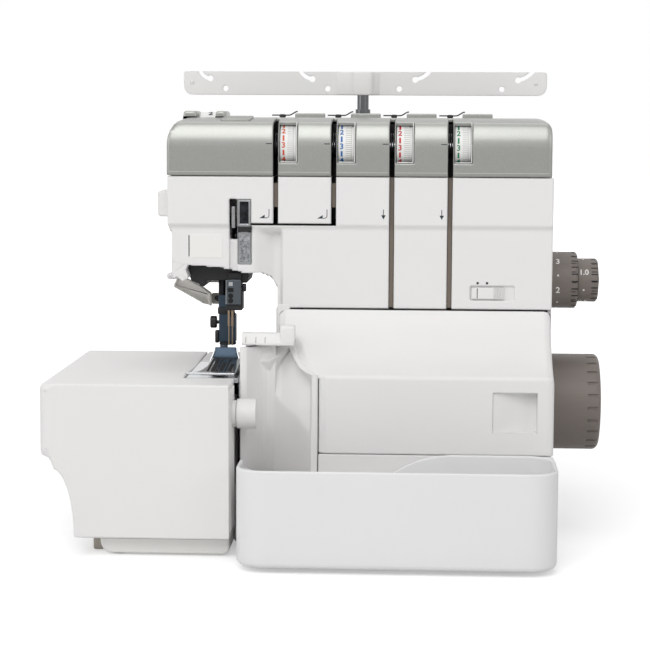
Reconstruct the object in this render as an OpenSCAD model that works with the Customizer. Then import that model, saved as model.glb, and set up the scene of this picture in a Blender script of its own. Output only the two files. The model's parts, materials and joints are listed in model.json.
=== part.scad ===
// Four-thread overlock sewing machine.
// Millimetres, +Z up, the operator stands at -Y. The origin is under the middle of the whole machine.
// Inside the modules X = 0 and Y = 0 are the machine's own lines: Y = 0 is the plane of the upper front
// panels and X = 0 runs just right of the second thread slot. place() moves them to the origin.

/* [Casing] */
// Left end of the sewing head, left of the machine's own centre line
head_left = 105.2; // [100:0.5:110]
// Right end of the column
column_right = 150; // [148:0.5:151]
// Depth of the casing from front panel to rear wall
case_depth = 102; // [100:1:104]
// Height of the seam between white casing and silver top cover
silver_z = 242.7; // [240:0.5:245]
// Height of the flat top of the silver cover
top_z = 281.5; // [280:0.5:284]
// Height of the seam between front panels and looper cover
looper_seam_z = 155; // [152:1:157]
// Wall thickness of the moulded covers
wall = 2.5; // [2:0.1:3]

/* [Thread slots and tension dials] */
// Distance from one thread slot to the next
slot_pitch = 38.4; // [38:0.1:39]
// Width of a thread slot
slot_w = 3.3; // [3:0.1:3.6]
// Radius of a tension dial drum
dial_r = 15.5; // [14:0.1:15.8]

/* [Side cover] */
// Left end of the side cover, left of the machine's own centre line
side_left = 178.4; // [175:0.5:182]
// Front of the side cover, in front of the upper panels
side_front = 72; // [70:1:76]
// Height of the sewing surface
bed_z = 112.8; // [112:0.1:113.5]

/* [Waste tray] */
// Length of the tray
tray_len = 200; // [190:1:203]
// Front of the tray, in front of the upper panels
tray_front = 107; // [100:1:112]
// Height of the tray's front rim
tray_rim_z = 65; // [60:1:66]

/* [Controls on the right] */
// Diameter of the handwheel
handwheel_d = 66; // [60:1:70]
// Diameter of the stitch length dial
length_dial_d = 38.8; // [34:0.2:40]
// Diameter of the differential feed dial
feed_dial_d = 29.8; // [26:0.2:31]

/* [Thread stand] */
// Length of the thread guide bar
guide_len = 259; // [250:1:262]
// Diameter of the top rod of the telescopic pole
pole_d = 8.2; // [8:0.1:8.4]
// Rear edge of the spool stand, behind the upper panels
stand_rear = 179; // [176:1:184]

/* [Hidden] */
$fn = 64;

white = "whitesmoke";
silver = "silver";
taupe = "dimgray";
steel = "slategray";
dark = [0.1, 0.1, 0.11];

fit = 0.08;        // radial running clearance of a pin in its bore
gap = 0.4;         // gap between pieces that move past each other
past = 1;          // how far a cut runs past a face
centre_x = (column_right + 36.4 - side_left) / 2;
centre_y = (stand_rear - tray_front) / 2;
floor_gap = 4;     // the rubber feet lift the base this far
base_top = 13;
frame_z = 14.3;

// Sewing head and its neck
head_low = 177;
head_low_left = 183.8;
step_z = 209;      // below this line the front is set back
step_in = 2.5;
neck_x = -33;      // left wall of the column
neck_r = 12;
front_half = 56;   // the front cover reaches this far back

// Thread slots
slot_x0 = -34.8;
slots = [for (i = [0:3]) slot_x0 + i * slot_pitch];
slot_low = [step_z, step_z, looper_seam_z, looper_seam_z];
dial_y = 16;
dial_z = 262.8;
window_w = 11.8;
window_z = [250.6, 277.5];
window_off = slot_w + 0.9;

// Needle and presser bars
needle_x = -61.5;
needle_y = 22;
presser_x = -71.3;
presser_y = 31;
bar_r = 3;
sole_z = bed_z + 1.1;
lifter_x = -85.1;
lifter_z = 161.6;

// Drive
shaft_y = 60;
shaft_z = 86;
shaft_r = 6;
pulley_x = 120;
pulley_w = 9;
pulley_r = 20;
motor_y = 74;
motor_z = 42;
motor_pulley_r = 8;
belt_t = 2;
dial_axis_z = 170.5;
length_dial_end = column_right + 20.3;

// Looper cover
cover_front = -45;
cover_edge_z = 116.5;
cover_low = 66.5;
cover_hinge = [-39.5, 72.5];
cover_right = column_right - 0.4;
recess = [110.2, 80, 138.7, 106.2];

// Side cover
side_right = -57;
side_hinge = [-165, 90];
plate_left = -88.3;
plate_front = -38;
plate_rear = 46;
plate_right = -54.2;
chute_left = -49.2;

// Thread stand
pole_x = 20.8;
pole_y = 113;
stand_z = 190;
pin_pitch = 73.1;
pin_y = 150;
pin_r = 3;
pin_h = 66;
holder_h = 30;
pins_x = [for (i = [-1.5:1:1.5]) pole_x + i * pin_pitch];
bar_low = 297;
bar_h = 16.6;

// Smaller pieces
pressure_dial = [45, 272];   // Y and Z of axes along X
looper_low = [34, 44];
looper_up = [8, 44];
knob_yz = [-52, 92];
feet = [[-130, -48], [-130, 86], [136, -26], [136, 86]];
case_screw_places = [[-92, 196], [-92, 232], [136, 232], [136, 24], [-24, 24], [-24, 150]];

// ---- helpers ----
module place() translate([-centre_x, -centre_y, 0]) children();

// Box between two corners
module block(a, b) translate(a) cube(b - a);

// Round rods along the three axes
module rod_x(r, x0, x1, y, z) translate([x0, y, z]) rotate([0, 90, 0]) cylinder(r = r, h = x1 - x0);
module rod_y(r, y0, y1, x, z) translate([x, y0, z]) rotate([-90, 0, 0]) cylinder(r = r, h = y1 - y0);
module rod_z(r, z0, z1, x, y) translate([x, y, z0]) cylinder(r = r, h = z1 - z0);

// Flat outline of X and Z, carried along Y
module along_y(y0, y1) translate([0, y1, 0]) rotate([90, 0, 0]) linear_extrude(y1 - y0) children();

// Flat outline of Y and Z, carried along X
module along_x(x0, x1) translate([x0, 0, 0]) rotate([90, 0, 90]) linear_extrude(x1 - x0) children();

// Rectangle with round corners, made of true arcs
module round_rect(a, b, r) {
    translate([a[0] + r, a[1]]) square([b[0] - a[0] - 2 * r, b[1] - a[1]]);
    translate([a[0], a[1] + r]) square([b[0] - a[0], b[1] - a[1] - 2 * r]);
    for (x = [a[0] + r, b[0] - r], y = [a[1] + r, b[1] - r]) translate([x, y]) circle(r);
}

// Points of an arc from angle a0 to a1
function arc(c, r, a0, a1, n = 8) =
    [for (i = [0:n]) let (a = a0 + (a1 - a0) * i / n) [c[0] + r * cos(a), c[1] + r * sin(a)]];

// ---- casing ----

// Outline of head, neck and column seen from the front, drawn t inside the outer face
module body_outline(t, low) {
    difference() {
        union() {
            polygon([
                [-head_left + t, silver_z - 0.5 + (t > 0 ? past : 0)], [-head_left + t, step_z + 1],
                [-head_left + 1.5 + t, step_z - 3], [-head_left + 1.5 + t, head_low_left + t],
                [-53, head_low + t], [0, head_low + t],
                [0, silver_z - 0.5 + (t > 0 ? past : 0)]
            ]);
            translate([neck_x + t, low])
                square([column_right - neck_x - 2 * t, silver_z - 0.5 + (t > 0 ? past : 0) - low]);
            translate([neck_x - neck_r, head_low - neck_r])
                square([neck_r + t, neck_r + t]);
        }
        translate([neck_x - neck_r, head_low - neck_r]) circle(neck_r + t);
    }
}

// The lower front face sits step_in behind the upper panels
module face_step(inner) {
    along_x(-120, 160)
        polygon([
            [-9, 100], [step_in + inner, 100], [step_in + inner, step_z - 2],
            [inner, step_z + 2], [-9, step_z + 2]
        ]);
}

module front_cover() {
    color(white) place() difference() {
        along_y(0, front_half) body_outline(0, looper_seam_z);
        face_step(0);
        difference() {
            along_y(wall, front_half + past) body_outline(wall, looper_seam_z - past);
            face_step(wall);
        }
        // thread slots
        for (i = [0:3])
            block([slots[i], -past, slot_low[i] - past],
                  [slots[i] + slot_w, wall + step_in + past, silver_z]);
        // crosswise slot under the two left panels
        block([-50, -past, step_z - 1.4], [slots[1] + slot_w, wall + step_in + past, step_z]);
        // take-up slot and the place of the chrome guide beside it
        block([-64, -past, 201.4], [-58.7, wall + step_in + past, 226.6]);
        block([-58.3, -past, 183.9], [-49.4, 1.2 + step_in, 226.9]);
        // opening under the head
        block([-98, 9, 165], [-51, front_half + past, head_low_left + wall + past]);
        // slot of the stitch finger slider
        block([96.1, -past, 161.2], [125.3, wall + step_in + past, 170.6]);
    }
}

module rear_cover() {
    color(white) place() difference() {
        union() {
            along_y(front_half + gap, case_depth) body_outline(0, base_top + gap);
            block([column_right - wall, 6, base_top + gap],
                  [column_right, front_half + past, looper_seam_z - gap]);
            block([neck_x, 6, 113.4], [neck_x + wall, front_half + past, looper_seam_z - gap]);
        }
        along_y(front_half, case_depth - wall) body_outline(wall, base_top - past);
        // the bed joins the column here
        block([neck_x - past, front_half - past, base_top], [neck_x + wall + gap, 97, bed_z + gap]);
        // opening under the head, notched for the lifter
        block([-98, front_half, 165], [-51, case_depth - 8, head_low_left + wall + past]);
        // main shaft, dial spindle and power inlet
        rod_x(shaft_r + 1, column_right - 5, column_right + past, shaft_y, shaft_z);
        rod_x(6, column_right - 5, column_right + past, shaft_y, dial_axis_z);
        block([column_right - 5, 72, 24], [column_right + past, 90, 52]);
        for (p = case_screw_places) rod_y(1.7, case_depth - 5, case_depth + past, p[0], p[1]);
        // grip recess of the rear wall
        for (z = [40:8:96]) block([10, case_depth - 5, z], [110, case_depth + past, z + 3]);
    }
}

// Profile of the silver cover from the side, drawn t inside
module silver_side(t) {
    r = 11;
    translate([-0.8 + t, silver_z - (t > 0 ? past : 0)])
        square([case_depth + 0.8 - 2 * t, top_z - r - silver_z + (t > 0 ? past : 0)]);
    translate([-0.8 + r, silver_z]) square([case_depth + 0.8 - 2 * r, top_z - silver_z - t]);
    for (y = [-0.8 + r, case_depth - r]) translate([y, top_z - r]) circle(r - t);
}

// Profile of the silver cover from the front, drawn t inside
module silver_face(t) {
    left = -head_left - 0.3;
    right = column_right - 1.3;
    low = silver_z - (t > 0 ? past : 0);
    polygon(concat(
        [[left + t, low]],
        arc([left + 15, top_z - 15], 15 - t, 180, 90, 10),
        arc([right - 10, top_z - 10], 10 - t, 90, 0, 8),
        [[right - t, low]]
    ));
}

module silver_block(t) intersection() {
    along_x(-130, 170) silver_side(t);
    along_y(-20, 130) silver_face(t);
}

module top_cover() {
    color(silver) place() {
        difference() {
            union() {
                silver_block(0);
                // humps beside the foot pressure dial
                along_x(-95, -67.2) intersection() {
                    translate([45, top_z - 20]) circle(22.8);
                    translate([30, top_z - 1]) square([30, 5]);
                }
            }
            silver_block(wall);
            for (i = [0:3]) {
                block([slots[i], -past - 1, silver_z - past], [slots[i] + slot_w, 32, top_z + past]);
                block([slots[i] + window_off, -past - 1, window_z[0]],
                      [slots[i] + window_off + window_w, 12, window_z[1]]);
            }
            // opening of the foot pressure dial
            block([-87.6, 31, top_z - 12], [-74.7, 59, top_z + 5]);
            // shallow inlay on the bevel
            translate([-59, 3, 279]) rotate([45, 0, 0]) cube([18, 5, 1.2], center = true);
            for (i = [0:2]) block([slots[i] + 20, 60, top_z - 0.8], [slots[i] + 34, 62, top_z + past]);
        }
    }
}

// Dark channels that line the thread slots
module thread_channels() {
    color(dark) place() for (i = [0:3]) difference() {
        block([slots[i] - 0.9, 5.4, slot_low[i] + 1.5], [slots[i] + slot_w + 0.8, 33, top_z - 4.7]);
        block([slots[i] - 0.2, 0, slot_low[i]], [slots[i] + slot_w + 0.1, 31.8, top_z]);
        rod_x(2.3, slots[i] - 5, slots[i] + 9, dial_y, dial_z);
    }
}

module tension_discs() {
    color(steel) place() for (i = [0:3], x = [0.5, 1.9])
        translate([slots[i] + x, dial_y, dial_z]) rotate([0, 90, 0]) difference() {
            cylinder(r = 8, h = 0.8);
            translate([0, 0, -past]) cylinder(r = 1.9, h = 3);
        }
}

// Drum with a ribbed band, turned by a finger through its window
module tension_dial(i) {
    x0 = slots[i] + window_off + 0.4;
    color(white) place() difference() {
        union() {
            rod_x(dial_r, x0, x0 + 8.6, dial_y, dial_z);
            rod_x(6, x0, x0 + 10.2, dial_y, dial_z);
        }
        rod_x(1.8 + fit, x0 - past, x0 + 12, dial_y, dial_z);
        rod_x(dial_r - 2, x0 + 2, x0 + 12, dial_y, dial_z);
    }
    color(white) place() difference() {
        rod_x(5, x0 + 1.5, x0 + 10, dial_y, dial_z);
        rod_x(1.8 + fit, x0, x0 + 12, dial_y, dial_z);
    }
}
module tension_dial_1() tension_dial(0);
module tension_dial_2() tension_dial(1);
module tension_dial_3() tension_dial(2);
module tension_dial_4() tension_dial(3);

module foot_pressure_dial() {
    color(white) place() difference() {
        rod_x(12.4, -87.1, -75.2, pressure_dial[0], pressure_dial[1]);
        rod_x(2 + fit, -90, -70, pressure_dial[0], pressure_dial[1]);
    }
}

// Fixed spindles, hinge pins and pivot rods
module spindles_and_pins() {
    color(steel) place() {
        for (i = [0:3]) rod_x(1.8, slots[i] - 4, slots[i] + 17, dial_y, dial_z);
        rod_x(2, -93, -69, pressure_dial[0], pressure_dial[1]);
        rod_x(4, column_right - 14, column_right + 33, shaft_y, dial_axis_z);
        rod_z(3, base_top + 0.1, 106, side_hinge[0], side_hinge[1]);
        rod_x(4, -104, -30, looper_low[0], looper_low[1]);
        rod_x(4, -104, -30, looper_up[0], looper_up[1]);
        rod_x(3, -72, -44.4, knob_yz[0], knob_yz[1]);
        rod_y(0.9, 73, 89, column_right - 4, 45);
        rod_x(2, -70, -40, 44, 214);
    }
}

// ---- sewing head ----
module head_bracket() {
    color(dark) place() difference() {
        union() {
            block([-96.6, 16, 170], [-55, 52, 183]);
            block([-92, 20, 183], [-53, 50, 196]);
            // arm that carries the foot lifter
            block([-82, 46, 172], [-74, 90, 182]);
            block([-81, 85.6, 156], [-75, 90, 173]);
            rod_y(3, 74, 88, lifter_x, lifter_z);
            block([lifter_x - 2, 86.5, lifter_z - 3], [-75, 90, lifter_z + 3]);
        }
        rod_z(bar_r + fit, 160, 200, needle_x, needle_y);
        rod_z(bar_r + fit, 160, 200, presser_x, presser_y);
        block([-90, 12, 166], [-82, 30, 176]);
        block([-68, 10, 166], [-52, 18.5, 190]);
    }
}

module presser_bar() {
    color(steel) place() rod_z(bar_r, 150, 232, presser_x, presser_y);
}

// Slate steel ankle with its thumb screw
module presser_foot_ankle() {
    color("steelblue") place() {
        difference() {
            block([-75.6, 27, 131.7], [-65.9, 37.4, 161]);
            rod_z(bar_r + fit, 149.9, 170, presser_x, presser_y);
            block([-80, 20, 128], [-60, 29.5, 138]);
            rod_x(1.5, -78, -72, presser_y, 155);
        }
        rod_x(1.4, -79, -75.7 + 1.4, presser_y, 155);
        rod_x(4.4, -82, -79, presser_y, 155);
    }
}

// Sole with two toes, needle slot and raised carrier
module presser_foot() {
    color(steel) place() difference() {
        union() {
            block([-76.8, -30, sole_z], [-56.8, 30, sole_z + 2]);
            translate([0, 0, sole_z]) linear_extrude(1.6)
                polygon([[-90, -30], [-89, -31.5], [-76, -30], [-76, -14], [-79, -20]]);
            block([-75.5, 12, sole_z + 1], [-60, 31, sole_z + 10.5]);
            block([-75, 29.9, sole_z + 9], [-66, 36, 131.6]);
        }
        block([-68.2, 13, sole_z - past], [-60.5, 22, sole_z + 30]);
        block([-73.5, 8, sole_z + 4], [-62, 26, sole_z + 13]);
        block([-72, -31, sole_z - past], [-70.8, 6, sole_z + 5]);
        block([-66, -31, sole_z - past], [-64.8, 6, sole_z + 5]);
    }
}

// Hand lever behind the presser bar
module presser_lifter() {
    color("gainsboro") place() difference() {
        union() {
            translate([lifter_x, 0, lifter_z]) rotate([0, 34, 0]) translate([-lifter_x, 0, -lifter_z]) {
                block([lifter_x - 30, 74, lifter_z - 9], [lifter_x - 5, 85, lifter_z + 4]);
                block([lifter_x - 8, 76, lifter_z - 9], [lifter_x + 3, 85, lifter_z + 2]);
            }
            rod_y(6, 76, 85, lifter_x, lifter_z);
        }
        rod_y(3 + fit, 70, 92, lifter_x, lifter_z);
    }
}

module needle_bar() {
    color(steel) place() rod_z(bar_r, 162, 203, needle_x, needle_y);
}

// Clamp block with its face plate and set screws
module needle_clamp() {
    color(steel) place() {
        difference() {
            block([-67.3, 12, 155], [-56, 26, 168]);
            rod_z(bar_r, 161.9, 170, needle_x, needle_y);
            for (x = [-65.6, -63.3]) rod_z(0.95, 150, 166, x, 15);
            for (z = [161.8, 165.9]) rod_y(1.4, 8, 14, -63.5, z);
        }
        difference() {
            block([-67, 10.6, 157.7], [-56.2, 11.9, 177.8]);
            for (z = [161.8, 165.9]) rod_y(1.6, 8, 14, -63.5, z);
            block([-66, 8, 168.6], [-61, 14, 171]);
        }
        for (z = [161.8, 165.9]) rod_y(1.3, 11, 13.9, -63.5, z);
    }
}

module needles() {
    color("silver") place() for (x = [-65.6, -63.3]) {
        rod_z(0.9, 141, 165.9, x, 15);
        rod_z(0.45, 129, 141.1, x, 15);
        translate([x, 15, 127.4]) cylinder(r1 = 0.05, r2 = 0.45, h = 1.7);
    }
}

// Chrome lever that swings in its slot
module take_up_lever() {
    color("lightgray") place() difference() {
        union() {
            block([-62.6, 5.5, 210], [-60.4, 44, 214]);
            rod_x(5, -62.6, -60.4, 44, 214);
            rod_x(3.3, -62.6, -60.4, 7, 211);
            block([-62.6, 3.6, 208], [-60.4, 6.6, 222]);
        }
        rod_x(2 + fit, -66, -58, 44, 214);
        rod_x(1.6, -66, -58, 7.5, 211);
    }
}

module thread_guide_plate() {
    color("lightgray") place() difference() {
        union() {
            block([-58, 2.0, 184.2], [-49.7, 3.6, 205]);
            block([-58, 0.3, 209.2], [-49.7, 3.6, 226.6]);
            block([-56.5, 2.0, 204], [-51.5, 3.6, 210]);
        }
        block([-57, -past, 210.5], [-51, 2.4, 225.6]);
    }
}

module thread_cutter() {
    color(white) place() difference() {
        block([-head_left - 4.7, 20, 215], [-head_left - 0.05, 42, 231]);
        block([-head_left - 3, 18, 224], [-head_left - 1.6, 36, 232]);
    }
}

// ---- looper area ----
// Outer face of the looper cover from the side: a hollow slope above an upright front
function cover_curve(t) = concat(
    [[2.2 - t * 0.2, looper_seam_z - 0.7 - t]],
    arc([-56, 176], 61 + t * 0.6, -21, -78, 10),
    [[cover_front + t, cover_edge_z - t * 0.8], [cover_front + t, cover_low]]
);

// Plan of the slanted left end, moved along X by dx
function slant(dx) = [
    [-28.4 + dx, 6], [-27 + dx, 0], [-18 + dx, -7], [-8 + dx, -22], [3 + dx, -45], [3 + dx, -60]
];

module cover_shell_side(t) polygon(concat(cover_curve(t), [[12, cover_low], [12, looper_seam_z - 0.7 - t]]));

module looper_cover() {
    color(white) place() {
        difference() {
            union() {
                difference() {
                    along_x(-30, cover_right) cover_shell_side(0);
                    along_x(-31, cover_right - wall) cover_shell_side(wall);
                    block([-40, 2.2, 60], [cover_right + 1, 20, 160]);
                }
                // pocket of the finger grip
                block([recess[0] - 2, cover_front + 1, recess[1] - 2],
                      [recess[2] + 2, cover_front + 11, recess[3] + 2]);
                // hinge eyes
                for (x = [12, 126]) rod_x(3.2, x, x + 8, cover_hinge[0], cover_hinge[1]);
            }
            translate([0, 0, 50]) linear_extrude(120)
                polygon(concat(slant(0), [[-60, -60], [-60, 6]]));
            block([recess[0], cover_front - past, recess[1]], [recess[2], cover_front + 9, recess[3]]);
            rod_x(2 + fit, -40, 170, cover_hinge[0], cover_hinge[1]);
        }
    }
}

// Rod that slides sideways in the casing and carries the cover
module looper_cover_rod() {
    color(steel) place() rod_x(2, 3, 144.5, cover_hinge[0], cover_hinge[1]);
}

// Moulding left of the looper cover that guides the trimmed edge down, with the panel behind the tray
module scrap_chute() {
    color(white) place() {
        difference() {
            translate([0, 0, 67.6]) linear_extrude(131.6 - 67.6)
                polygon(concat([[chute_left, -40], [chute_left, -6], [-34, -6]],
                    [for (p = slant(-gap)) if (p[1] < -1 && p[1] >= -45) p], [[-6, -45], [-8, -40]]));
            // hollow of the chute
            translate([-34, -58, 96]) rotate([-8, 4, 0]) cylinder(r = 36, h = 140, center = true);
            // room for the lower edge of the looper cover as it opens
            block([-1.5, -46, 60], [5, -30, 82]);
            block([1, -46, 80], [5, -38, 125]);
            // room under the slope of the looper cover
            translate([-60, 0, 0]) along_x(0, 80)
                polygon([[-46, 117.6], [-30, 119.4], [-14, 127], [-14, 170], [-80, 170], [-80, 117.6]]);
        }
        difference() {
            union() {
                block([chute_left, -43.6, base_top + 4], [148, -41, cover_low - 2.6]);
                block([chute_left, -43.6, cover_low - 6], [-4, -6, cover_low + 1.2]);
                // ledge and inner panel whose two arms hold the hinge rod
                block([chute_left, -43.6, 58], [148, -31, 60.4]);
                block([chute_left, -33.4, 58], [146.4, -31, 75.3]);
                for (x = [5, 141.2]) {
                    rod_x(2.8, x, x + 2.4, cover_hinge[0], cover_hinge[1]);
                    block([x, cover_hinge[0], cover_hinge[1] - 2.3], [x + 2.4, -33, cover_hinge[1] + 2.8]);
                }
            }
            rod_x(2 + fit, -4, 160, cover_hinge[0], cover_hinge[1]);
        }
    }
}

module seam_guide() {
    color(white) place() difference() {
        union() {
            block([-52.9, -30, 132], [-18, 1.8, 134.3]);
            block([-52.9, 1.7, 132], [neck_x - 0.3, 33, 134.3]);
            block([-28, -29, 134.2], [-23, 1.8, 144]);
            block([-23.1, -29, 134.2], [-20, 1.8, 139.6]);
            block([-52.4, -5.8, 113.2], [-49.4, 33, 132.1]);
        }
        translate([0, 0, 128]) linear_extrude(20) polygon(concat(slant(-gap), [[20, -60], [20, 6]]));
    }
}

module waste_tray() {
    r = 18;
    x0 = column_right - 0.5 - tray_len;
    color(white) place() difference() {
        translate([0, 0, 3.4]) linear_extrude(62.6)
            round_rect([x0, -tray_front], [x0 + tray_len, -46], r);
        translate([0, 0, 5.8]) linear_extrude(80)
            round_rect([x0 + 2.2, -tray_front + 2.2], [x0 + tray_len - 2.2, -48.2], r - 2.2);
        // the front rim is level, the rear wall falls to the left in a long curve
        block([x0 - past, -tray_front - past, tray_rim_z], [x0 + tray_len + past, -66, 80]);
        along_y(-66, -40) polygon(concat(
            [[x0 - past, 80], [x0 - past, 60], [x0 + 12, 50], [45, 50]],
            arc([86, 24], 42, 132, 90, 8),
            [[86, 80]]
        ));
    }
}

// ---- bed and side cover ----
// Outline of the side cover from the front, drawn t inside: square shoulder above an inward curve
module side_outline(t) {
    polygon(concat(
        [[side_right + (t > 0 ? past : 0), bed_z - t]],
        arc([-side_left + 5, bed_z - 5], 5 - t, 90, 180, 6),
        [[-side_left + t, 66 + t], [-side_left + 6.5 + t, 65 + t]],
        [for (i = [1:8]) let (a = 90 * i / 8)
            [-side_left + 7.8 + 14 * sin(a) + t, 58 - 44.5 * (1 - cos(a)) - (t > 0 && i == 8 ? past : 0)]],
        [[side_right + (t > 0 ? past : 0), 13.5 - (t > 0 ? past : 0)]]
    ));
}

module side_cover() {
    color(white) place() difference() {
        union() {
            difference() {
                along_y(-side_front, case_depth - 1) side_outline(0);
                along_y(-side_front + wall, case_depth) side_outline(wall);
            }
            // hinge lugs
            for (z = [70, 98])
                block([-side_left + 2, side_hinge[1] - 6, z], [side_hinge[0] + 6, side_hinge[1] + 6, z + 6]);
        }
        rod_z(3 + fit, 10, 120 - 12, side_hinge[0], side_hinge[1]);
        // notch round the needle plate and the fixed bed cover
        block([plate_left - 1.6, plate_front - gap, 100], [0, 120, 120]);
    }
}

module bed_cover() {
    color(white) place() {
        block([plate_left, plate_rear + gap, bed_z - wall], [-54, case_depth - 1, bed_z]);
        block([-54.1, 2, bed_z - wall], [neck_x - 0.3, case_depth - 1, bed_z]);
        block([-146, case_depth - 1 - wall, base_top + gap],
              [neck_x - 0.3, case_depth - 1, bed_z - wall - gap]);
    }
}

module needle_plate() {
    color("lightgray") place() difference() {
        block([plate_left, plate_front, bed_z - 3], [plate_right, plate_rear, bed_z - 0.1]);
        block([-80.8, 22, 100], [-73.2, 43, 120]);
        block([-80.8, -24, 100], [-73.2, 18, 120]);
        block([-68.6, 12, 100], [-60.2, 23, 120]);
    }
}

module lower_knife() {
    color("silver") place() {
        block([-54, -36, 92], [-52.4, -12, bed_z - 0.4]);
        rod_x(2.5, -52.4, -51.6, -24, 97);
    }
}

// Dark blade beside the lower knife, on its arm
module upper_knife() {
    color(dark) place() {
        difference() {
            union() {
                block([-51.4, -36, 95], [-49.8, -18, 120]);
                block([-51.4, -30, 88], [-49.8, -22, 96]);
            }
            translate([-55, -36, 88]) rotate([30, 0, 0]) cube([10, 8, 12]);
        }
    }
}

module knife_knob() {
    color(white) place() difference() {
        rod_x(9.5, -53.4, -41, knob_yz[0], knob_yz[1]);
        rod_x(3 + fit, -60, -44, knob_yz[0], knob_yz[1]);
    }
}

module upper_looper() {
    color("silver") place() difference() {
        union() {
            rod_x(8, -64, -57, looper_up[0], looper_up[1]);
            block([-64, looper_up[0] - 3.5, looper_up[1]], [-60, looper_up[0] + 3.5, 88]);
            block([-64, looper_up[0] - 3.5, 86], [-62, looper_up[0] + 3, 100]);
        }
        rod_x(4 + fit, -70, -50, looper_up[0], looper_up[1]);
    }
}

module lower_looper() {
    color("silver") place() difference() {
        union() {
            rod_x(8, -82, -75, looper_low[0], looper_low[1]);
            block([-82, looper_low[0] - 3.5, looper_low[1]], [-78, looper_low[0] + 3.5, 84]);
            block([-82, looper_low[0] - 3.5, 80], [-70, looper_low[0] - 1, 86]);
        }
        rod_x(4 + fit, -90, -60, looper_low[0], looper_low[1]);
    }
}

// Toothed strip under the foot
module feed_dog(y0, y1) {
    color(steel) place() difference() {
        union() {
            block([-80, y0, 104], [-74, y1, bed_z + 0.4]);
            block([-86, y0 + 2, 99], [-74, y0 + 10, 104.1]);
        }
        block([-77.6, y0 - past, 108], [-76.4, y1 + past, 120]);
        for (y = [y0:2:y1]) translate([-90, y, bed_z + 0.4]) rotate([45, 0, 0]) cube([30, 1, 1]);
    }
}
module main_feed_dog() feed_dog(25.5, 40);
module differential_feed_dog() feed_dog(-20, 14);

// ---- frame and drive ----
module machine_frame() {
    color("darkgray") place() difference() {
        union() {
            block([-130, -8, frame_z], [140, 92, 20]);
            // column walls and top beam
            block([132, 30, 19], [138, 92, 232]);
            block([-27, 36, 19], [-20, 92, 232]);
            block([-96, 66, 200], [138, 92, 212]);
            // upright of the bed
            block([-104, -6, 19], [-96, 92, 106]);
            block([-104, 48, 98], [-56, 92, 106]);
            block([-36, 1, 19], [-30, 92, 104]);
            // plate behind the looper area
            block([-20.1, 36, 19], [132.1, 39, 150]);
            // nose that guides the needle and presser bars
            block([-92, 20, 198], [-53, 67, 206]);
            block([-46, 40, 208], [-40, 67, 220]);
        }
        rod_x(shaft_r + fit, -110, 145, shaft_y, shaft_z);
        rod_x(4, -110, -28, looper_low[0], looper_low[1]);
        rod_x(4, -110, -28, looper_up[0], looper_up[1]);
        rod_x(4, 125, 145, shaft_y, dial_axis_z);
        rod_x(2, -50, -35, 44, 214);
        rod_z(bar_r + fit, 190, 220, needle_x, needle_y);
        rod_z(bar_r + fit, 190, 220, presser_x, presser_y);
        // room for the pulley and belt, the take-up lever and the needle bar
        block([116, 35, 56], [131.9, 45, 114]);
        block([-64, 10, 200], [-59, 50, 213]);
    }
}

module main_shaft() {
    color(steel) place() {
        rod_x(shaft_r, -108, column_right + 30, shaft_y, shaft_z);
        // grooved pulley
        difference() {
            union() {
                rod_x(pulley_r, pulley_x, pulley_x + pulley_w, shaft_y, shaft_z);
                for (x = [pulley_x, pulley_x + pulley_w - 1.2])
                    rod_x(pulley_r + 3, x, x + 1.2, shaft_y, shaft_z);
            }
            rod_x(shaft_r, 0, 150, shaft_y, shaft_z);
        }
    }
}

module handwheel() {
    x0 = column_right + 1.6;
    x1 = column_right + 36.4;
    r = handwheel_d / 2;
    color(taupe) place() difference() {
        translate([x0, shaft_y, shaft_z]) rotate([0, 90, 0]) rotate_extrude()
            polygon(concat([[0, 0], [r, 0], [r, x1 - x0 - 4]],
                arc([r - 4, x1 - x0 - 4], 4, 0, 90, 6), [[0, x1 - x0]]));
        rod_x(shaft_r, x0 - past, column_right + 30, shaft_y, shaft_z);
        for (a = [0:15:345])
            translate([x1 - 9, shaft_y, shaft_z]) rotate([a, 0, 0])
                translate([0, r - 0.8, -0.9]) cube([8, 3, 1.8]);
    }
}

module motor() {
    color(dark) place() {
        difference() {
            union() {
                rod_x(21, 40, 100, motor_y, motor_z);
                rod_x(8, 100, 106, motor_y, motor_z);
                block([46, motor_y - 14, 20.2], [94, motor_y + 14, 26]);
            }
            rod_x(2.5 + fit, 90, 110, motor_y, motor_z);
        }
    }
}

module motor_pulley() {
    color(steel) place() {
        difference() {
            union() {
                rod_x(motor_pulley_r, pulley_x, pulley_x + pulley_w, motor_y, motor_z);
                for (x = [pulley_x, pulley_x + pulley_w - 1.2])
                    rod_x(motor_pulley_r + 2.5, x, x + 1.2, motor_y, motor_z);
            }
            rod_x(2.5, 90, 150, motor_y, motor_z);
        }
        rod_x(2.5, 91, pulley_x + pulley_w, motor_y, motor_z);
    }
}

// Flat belt over both pulleys
module drive_belt() {
    color(dark) place() along_x(pulley_x + 1.6, pulley_x + pulley_w - 1.6) difference() {
        hull() {
            translate([shaft_y, shaft_z]) circle(pulley_r + 0.3 + belt_t);
            translate([motor_y, motor_z]) circle(motor_pulley_r + 0.3 + belt_t);
        }
        hull() {
            translate([shaft_y, shaft_z]) circle(pulley_r + 0.3);
            translate([motor_y, motor_z]) circle(motor_pulley_r + 0.3);
        }
    }
}

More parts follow.
